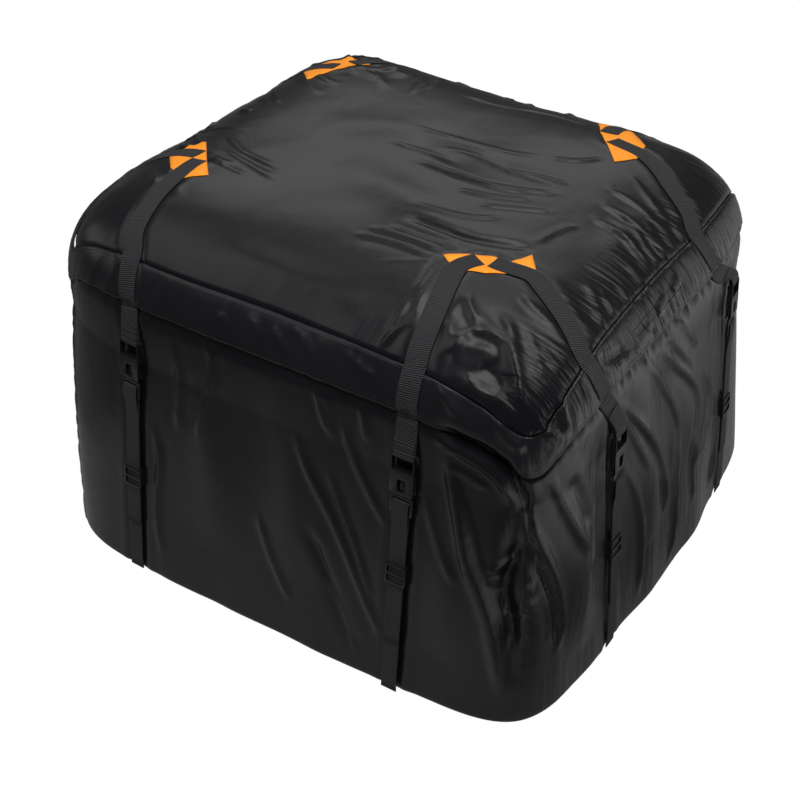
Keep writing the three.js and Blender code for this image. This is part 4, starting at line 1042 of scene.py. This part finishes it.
# Straps and buckles. Points over which an upper webbing leaves the cloth for its buckle, over which its
# directions and then its sides turn to the buckle's, and that its end takes up on its way back over it; how
# far that end reaches; points of a lower webbing and of its tail, and how far under the bar they part
BRIDGE_POINTS, TURNING_POINTS, SIDE_POINTS, RETURN_POINTS, RETURN_LENGTH = 8, 16, 12, 12, 34
LOAD_POINTS, TAIL_POINTS, PARTING = 24, 20, 50
for name, face, line, buckle, _, tail in STRAPS:
    along = strap_along(face, line)
    place = StrapFrame(face, along, buckle, MALE_FOOT, FEMALE_LENGTH)
    # Upper webbing
    run = even(strap_lines[name], 4.0)
    last = place.at(FEMALE_BAR + 16, BAR_OUT - TURN_REACH)
    gap = np.linspace(0, 1, BRIDGE_POINTS)[1:, None]
    bridge = run[-1] + (last - run[-1]) * gap
    surface = np.vstack([run, bridge])
    _, normals = on_skin(surface)
    normals = normals * np.where((normals * (surface - (0, 0, 250))).sum(-1, keepdims=True) < 0, -1, 1)
    turning = smooth(0, 1, np.linspace(0, 1, TURNING_POINTS))[:, None]
    normals = unit(soften(unit(normals), 12))
    normals[-TURNING_POINTS:] = unit(mix(normals[-TURNING_POINTS:], place.out, turning))
    laid = soften(outermost(surface, normals), 3)
    middle = laid + normals * CLOTH_GAP
    weight = smooth(0, 1, gap)
    middle[len(run):] = mix(middle[len(run):], bridge, weight)
    tangent = unit(np.gradient(soften(middle, 10), axis=0))
    sides = unit(np.cross(normals, -tangent))
    if (sides[-1] @ place.side) < 0:
        sides = -sides
    sides = unit(soften(sides, 10))
    sides[-SIDE_POINTS:] = unit(mix(sides[-SIDE_POINTS:], place.side, turning[-SIDE_POINTS:]))
    hug = np.ones(len(surface))
    hug[len(run):] = 0
    hug = soften(hug, 4)
    path = [(FEMALE_BAR + 10, BAR_OUT - TURN_REACH)] + turn(FEMALE_BAR, -1)[1:]
    path += [(FEMALE_BAR + 7, BAR_OUT + TURN_REACH - 1.0)]
    bend, bend_out = bent(path, place)
    back, back_out, back_sides = (values[-2:-2 - RETURN_POINTS:-1] for values in (middle, normals, sides))
    back_run = run_lengths(back)
    back = back + back_out * (2 * WEB + np.interp(back_run, [0, 14, 30], [2.4, 0.7, 0.35]))[:, None]
    keep = back_run < RETURN_LENGTH
    whole = np.vstack([middle, bend, back[keep]])
    outs = np.vstack([normals, bend_out, -back_out[keep]])
    all_sides = np.vstack([sides, np.broadcast_to(place.side, bend.shape), back_sides[keep]])
    hug = np.concatenate([hug, np.full(len(bend) + keep.sum(), -1.0)])
    upper = ribbon("upper_" + name, whole, all_sides, unit(outs), STRAP_WIDTH, WEBBING, hug)
    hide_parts("upper_webbing_" + name)
    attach(upper, "bag")
    # Lower webbing
    top = buckle + MALE_BAR - PARTING
    foot = np.array([wall_point(face, along, h) for h in np.linspace(2, top, LOAD_POINTS)])
    foot_out = np.array([spine(face, along, h)[4] for h in np.linspace(4, top, LOAD_POINTS)])
    raised = np.interp(np.linspace(2, buckle, LOAD_POINTS), [2, 40], [0.5, LOAD_RAISE])
    load = foot + foot_out * raised[:, None]
    path = [(MALE_BAR - 20, BAR_OUT - TURN_REACH)] + turn(MALE_BAR, 1)
    path += [(MALE_BAR - 22, BAR_OUT + TURN_REACH)]
    bend, bend_out = bent(path, place)
    tail_heights = np.linspace(top, tail, TAIL_POINTS)
    tail_out = np.array([spine(face, along, h)[4] for h in tail_heights])
    tails = np.array([wall_point(face, along, h) for h in tail_heights]) + tail_out * (TAIL_RAISE + WEB)
    whole = np.vstack([load, bend, tails])
    outs = np.vstack([foot_out, bend_out, -tail_out])
    sides = np.broadcast_to(place.side, whole.shape)
    lower = ribbon("lower_" + name, whole, sides, unit(outs), LOWER_WIDTH, WEBBING)
    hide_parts("lower_webbing_" + name)
    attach(lower, "bag")
    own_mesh(lower)
    copy_node("buckle_female_" + name, "bag", PLASTIC)
    copy_node("buckle_male_" + name, "buckle_" + name, PLASTIC, 0.3)
    copy_node("keeper_" + name, "keeper_" + name + "_body", PLASTIC, 0.35)

# Corner patches: orange cloth lying on the crown under the strap ends
PATCHES = {
    "front_right": [(157, -189), (172, -179), (188, -167), (205, -159), (220, -152), (243, -153), (252, -136),
                    (259, -113), (284, -148), (268, -165), (251, -185), (231, -200), (207, -207), (186, -203),
                    (172, -201)],
    "back_right": [(130, 372), (163, 311), (194, 269), (232, 217), (255, 251), (244, 311), (195, 372),
                   (165, 385)],
    "front_left": [(-366, -67), (-382, -90), (-390, -131), (-345, -181), (-300, -203), (-270, -180),
                   (-316, -127)],
    "back_left": [(-372, 224), (-408, 264), (-400, 310), (-372, 345), (-335, 350), (-310, 335),
                  (-331, 315)],
}
for name, rim in PATCHES.items():
    work = bmesh.new()
    corners = []
    for (ax, ay), (bx, by) in zip(rim, rim[1:] + rim[:1]):
        steps = max(1, int(math.hypot(bx - ax, by - ay) / 6))
        corners += [(ax + (bx - ax) * k / steps, ay + (by - ay) * k / steps) for k in range(steps)]
    verts = [work.verts.new((x, y, 0)) for x, y in corners]
    face = work.faces.new(verts)
    bmesh.ops.triangulate(work, faces=[face])
    for _ in range(3):
        long_edges = [e for e in work.edges if e.calc_length() > 8]
        bmesh.ops.subdivide_edges(work, edges=long_edges, cuts=1)
        bmesh.ops.triangulate(work, faces=work.faces[:])
    for v in work.verts:
        x, y, _ = metres((v.co.x, v.co.y, 0))
        hit = skin_tree.ray_cast(Vector((x, y, 1.0)), Vector((0, 0, -1)))
        v.co = Vector(hit[0]) + Vector(hit[1]) * 0.0004
    mesh = bpy.data.meshes.new("patch_" + name)
    work.normal_update()
    if sum(f.normal.z for f in work.faces) < 0:
        bmesh.ops.reverse_faces(work, faces=work.faces[:])
    work.to_mesh(mesh)
    work.free()
    layer = mesh.uv_layers.new(name="UVMap")
    for loop in mesh.loops:
        layer.data[loop.index].uv = mesh.vertices[loop.vertex_index].co[:2]
    obj = bpy.data.objects.new("patch_" + name, mesh)
    bpy.context.scene.collection.objects.link(obj)
    mesh.materials.append(PATCH)
    thick = obj.modifiers.new("thick", "SOLIDIFY")
    thick.thickness, thick.offset = 0.0008, 1
    mesh.polygons.foreach_set("use_smooth", [True] * len(mesh.polygons))
    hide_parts("corner_patch_" + name)
    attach(obj, "bag")

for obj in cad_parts.values():
    if not obj.hide_render:
        obj.data.materials.clear()
        obj.data.materials.append(ZIP)


# Stitches: short threads in rows, sunk into the cloth at both ends

SUNK, THIN = -0.15, 0.6


def stitches(name, rows, pitch=4.0, length=2.9, radius=0.42, raised=0.25):
    """Threads along rows of points, each a six-sided bar of four rings."""
    rings = ((-0.5, SUNK, THIN), (-0.22, raised, 1), (0.22, raised, 1), (0.5, SUNK, THIN))
    circle = [(math.cos(a * math.pi / 3) * radius, math.sin(a * math.pi / 3) * radius) for a in range(6)]
    verts, faces = [], []
    for row in rows:
        at = even(row, pitch)
        tangent = unit(np.gradient(at, axis=0))
        at, normals = on_skin(at)
        side = np.cross(normals, tangent)
        for c, t, n, w in zip(at, tangent, normals, side):
            start = len(verts)
            for shift, high, size in rings:
                middle = c + t * shift * length + n * high
                verts += [middle + (n * sa + w * ca) * size for ca, sa in circle]
            for ringed in range(3):
                for a in range(6):
                    b, low = (a + 1) % 6, start + ringed * 6
                    faces.append([low + a, low + b, low + 6 + b, low + 6 + a])
    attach(mesh_from(name, np.array(verts), faces, None, THREAD), "bag")


def closed(row):
    """Row of points whose last one is its first again."""
    return np.vstack([row, row[:1]])


stitches("hem_stitches", [closed(flap_outer[3]), closed(flap_outer[-4])])
# Outline of the closure's box of stitches and the row along its middle, on the right and on the left side
box = [(425, 27, 506), (438, 32, 487), (439, -119, 486), (428, -129, 505), (425, 27, 506)]
middle_line = [(431.5, 29, 496.5), (433.5, -124, 495.5)]
boxes = []
for turned_way in (1, -1):
    rows = [*zip(box[:-1], box[1:]), middle_line]
    boxes += [np.array(row) * (turned_way, turned_way, 1) for row in rows]
stitches("closure_stitches", boxes, pitch=3.6, length=2.7, radius=0.5)
seam_rows = []
for run in corner_runs:
    for side_step in (-5.5, 5.5):
        line = run[:-1][run[:-1, 2] < FLAP_EDGE - 34]
        across = unit(np.cross(line * (1, 1, 0), (0, 0, 1)))
        seam_rows.append(line + across * side_step)
stitches("corner_stitches", seam_rows, pitch=4.4)

# Camera
camera = bpy.data.objects.new("camera", bpy.data.cameras.new("camera"))
bpy.context.scene.collection.objects.link(camera)
camera.matrix_world = Matrix((
    (right.x, up.x, -forward.x, eye.x), (right.y, up.y, -forward.y, eye.y),
    (right.z, up.z, -forward.z, eye.z), (0, 0, 0, 1)))
camera.data.sensor_width = 36
camera.data.lens = FOCAL_PIXELS / PHOTO_SIZE * 36
camera.data.shift_x, camera.data.shift_y = SHIFT_PIXELS[0] / PHOTO_SIZE, SHIFT_PIXELS[1] / PHOTO_SIZE
bpy.context.scene.camera = camera

# Floor, with painted pools of glow for the bag's reflections, and light
bpy.ops.mesh.primitive_plane_add(size=14, location=(0, 0, -0.0005))
floor = bpy.context.object
floor.name = "floor"
floor_mat, tree, shader = new_material("floor_white", 0.9, Base_Color=(0.05, 0.05, 0.05, 1),
                                       Emission_Color=(1, 1, 1, 1))
position = node(tree, "ShaderNodeSeparateXYZ", Vector=place_on_object(tree))


def ramp(axis, low, high, bottom, top):
    """Smooth change of the floor's painted glow along one axis."""
    return node(tree, "ShaderNodeMapRange", interpolation_type="SMOOTHSTEP", Value=position.outputs[axis],
                From_Min=low, From_Max=high, To_Min=bottom, To_Max=top).outputs[0]


# Painted glowing pools on the floor, seen only in reflections: a band far in front, a patch behind on the
# right and a strip out to the right
far_front_glow = combine(tree, "MULTIPLY", ramp("Y", -0.66, -0.95, 0.24, 0.13), ramp("X", 0.42, 0.6, 1.0, 0.3),
                    ramp("X", -0.55, -0.75, 1.0, 0.35))
back_right = combine(tree, "MULTIPLY", ramp("X", 0.35, 0.6, 0.0, 0.10), ramp("Y", 0.0, 0.4, 0.0, 1.0))
right_side = combine(tree, "MULTIPLY", ramp("X", 0.72, 0.95, 0.0, 0.6), ramp("Y", -1.3, -0.9, 0.0, 1.0))
tree.links.new(combine(tree, "ADD", far_front_glow, back_right, right_side), shader.inputs["Emission Strength"])

# The floor is pure white where the camera looks at it. For all other rays it is a dark grey floor with
# painted pools of glow, which stand in for lit floor that the bag's cloth reflects
blend = node(tree, "ShaderNodeMixShader")
white = node(tree, "ShaderNodeEmission")
sockets = (node(tree, "ShaderNodeLightPath").outputs["Is Camera Ray"], shader.outputs[0], white.outputs[0])
for k, socket in enumerate(sockets):
    tree.links.new(socket, blend.inputs[k])
tree.links.new(blend.outputs[0], tree.nodes["Material Output"].inputs["Surface"])
floor.data.materials.append(floor_mat)

world = bpy.data.worlds.new("world")
bpy.context.scene.world = world
world.use_nodes = True
tree = world.node_tree
background = tree.nodes["Background"]
background.inputs[0].default_value = (1, 1, 1, 1)
seen = node(tree, "ShaderNodeLightPath").outputs["Is Camera Ray"]
strength = node(tree, "ShaderNodeMapRange", Value=seen, To_Min=0.075, To_Max=1.0)
tree.links.new(strength.outputs[0], background.inputs["Strength"])
bpy.context.scene.view_settings.view_transform = "Standard"


def softbox(name, at, aim, width, height, radiance, mirrored=True):
    """Rectangular light at a place, turned towards aim."""
    light = bpy.data.lights.new(name, "AREA")
    light.shape, light.size, light.size_y = "RECTANGLE", width, height
    light.energy = radiance * math.pi * width * height
    obj = bpy.data.objects.new(name, light)
    bpy.context.scene.collection.objects.link(obj)
    obj.location = at
    obj.rotation_euler = (Vector(aim) - Vector(at)).to_track_quat("-Z", "Y").to_euler()
    obj.visible_glossy = mirrored


TOP = Vector((0, 0, 0.55))


def sky_box(name, azimuth, elevation, across, along, radiance):
    """Softbox seen from the bag's top at a direction, with its half sizes in degrees."""
    az, el = math.radians(azimuth), math.radians(elevation)
    at = TOP + 3 * Vector((math.sin(az) * math.cos(el), math.cos(az) * math.cos(el), math.sin(el)))
    softbox(name, at, TOP, 6 * math.tan(math.radians(across)), 6 * math.tan(math.radians(along)), radiance)


sky_box("back", -31, 28, 21, 8.5, 0.95)
sky_box("left_high", -100, 53, 25, 13, 0.62)
sky_box("overhead_right", 16, 66, 25, 13, 2.2)
sky_box("right_low", 45, 11, 17, 11, 0.8)
sky_box("left_low", -103, 15, 14, 9, 0.55)
softbox("key", (0.7, -1.4, 3.2), (0, 0, 0.4), 1.6, 1.6, 12, mirrored=False)

for name, rim in PATCHES.items():
    xs, ys = np.array(rim, float).T / 1000
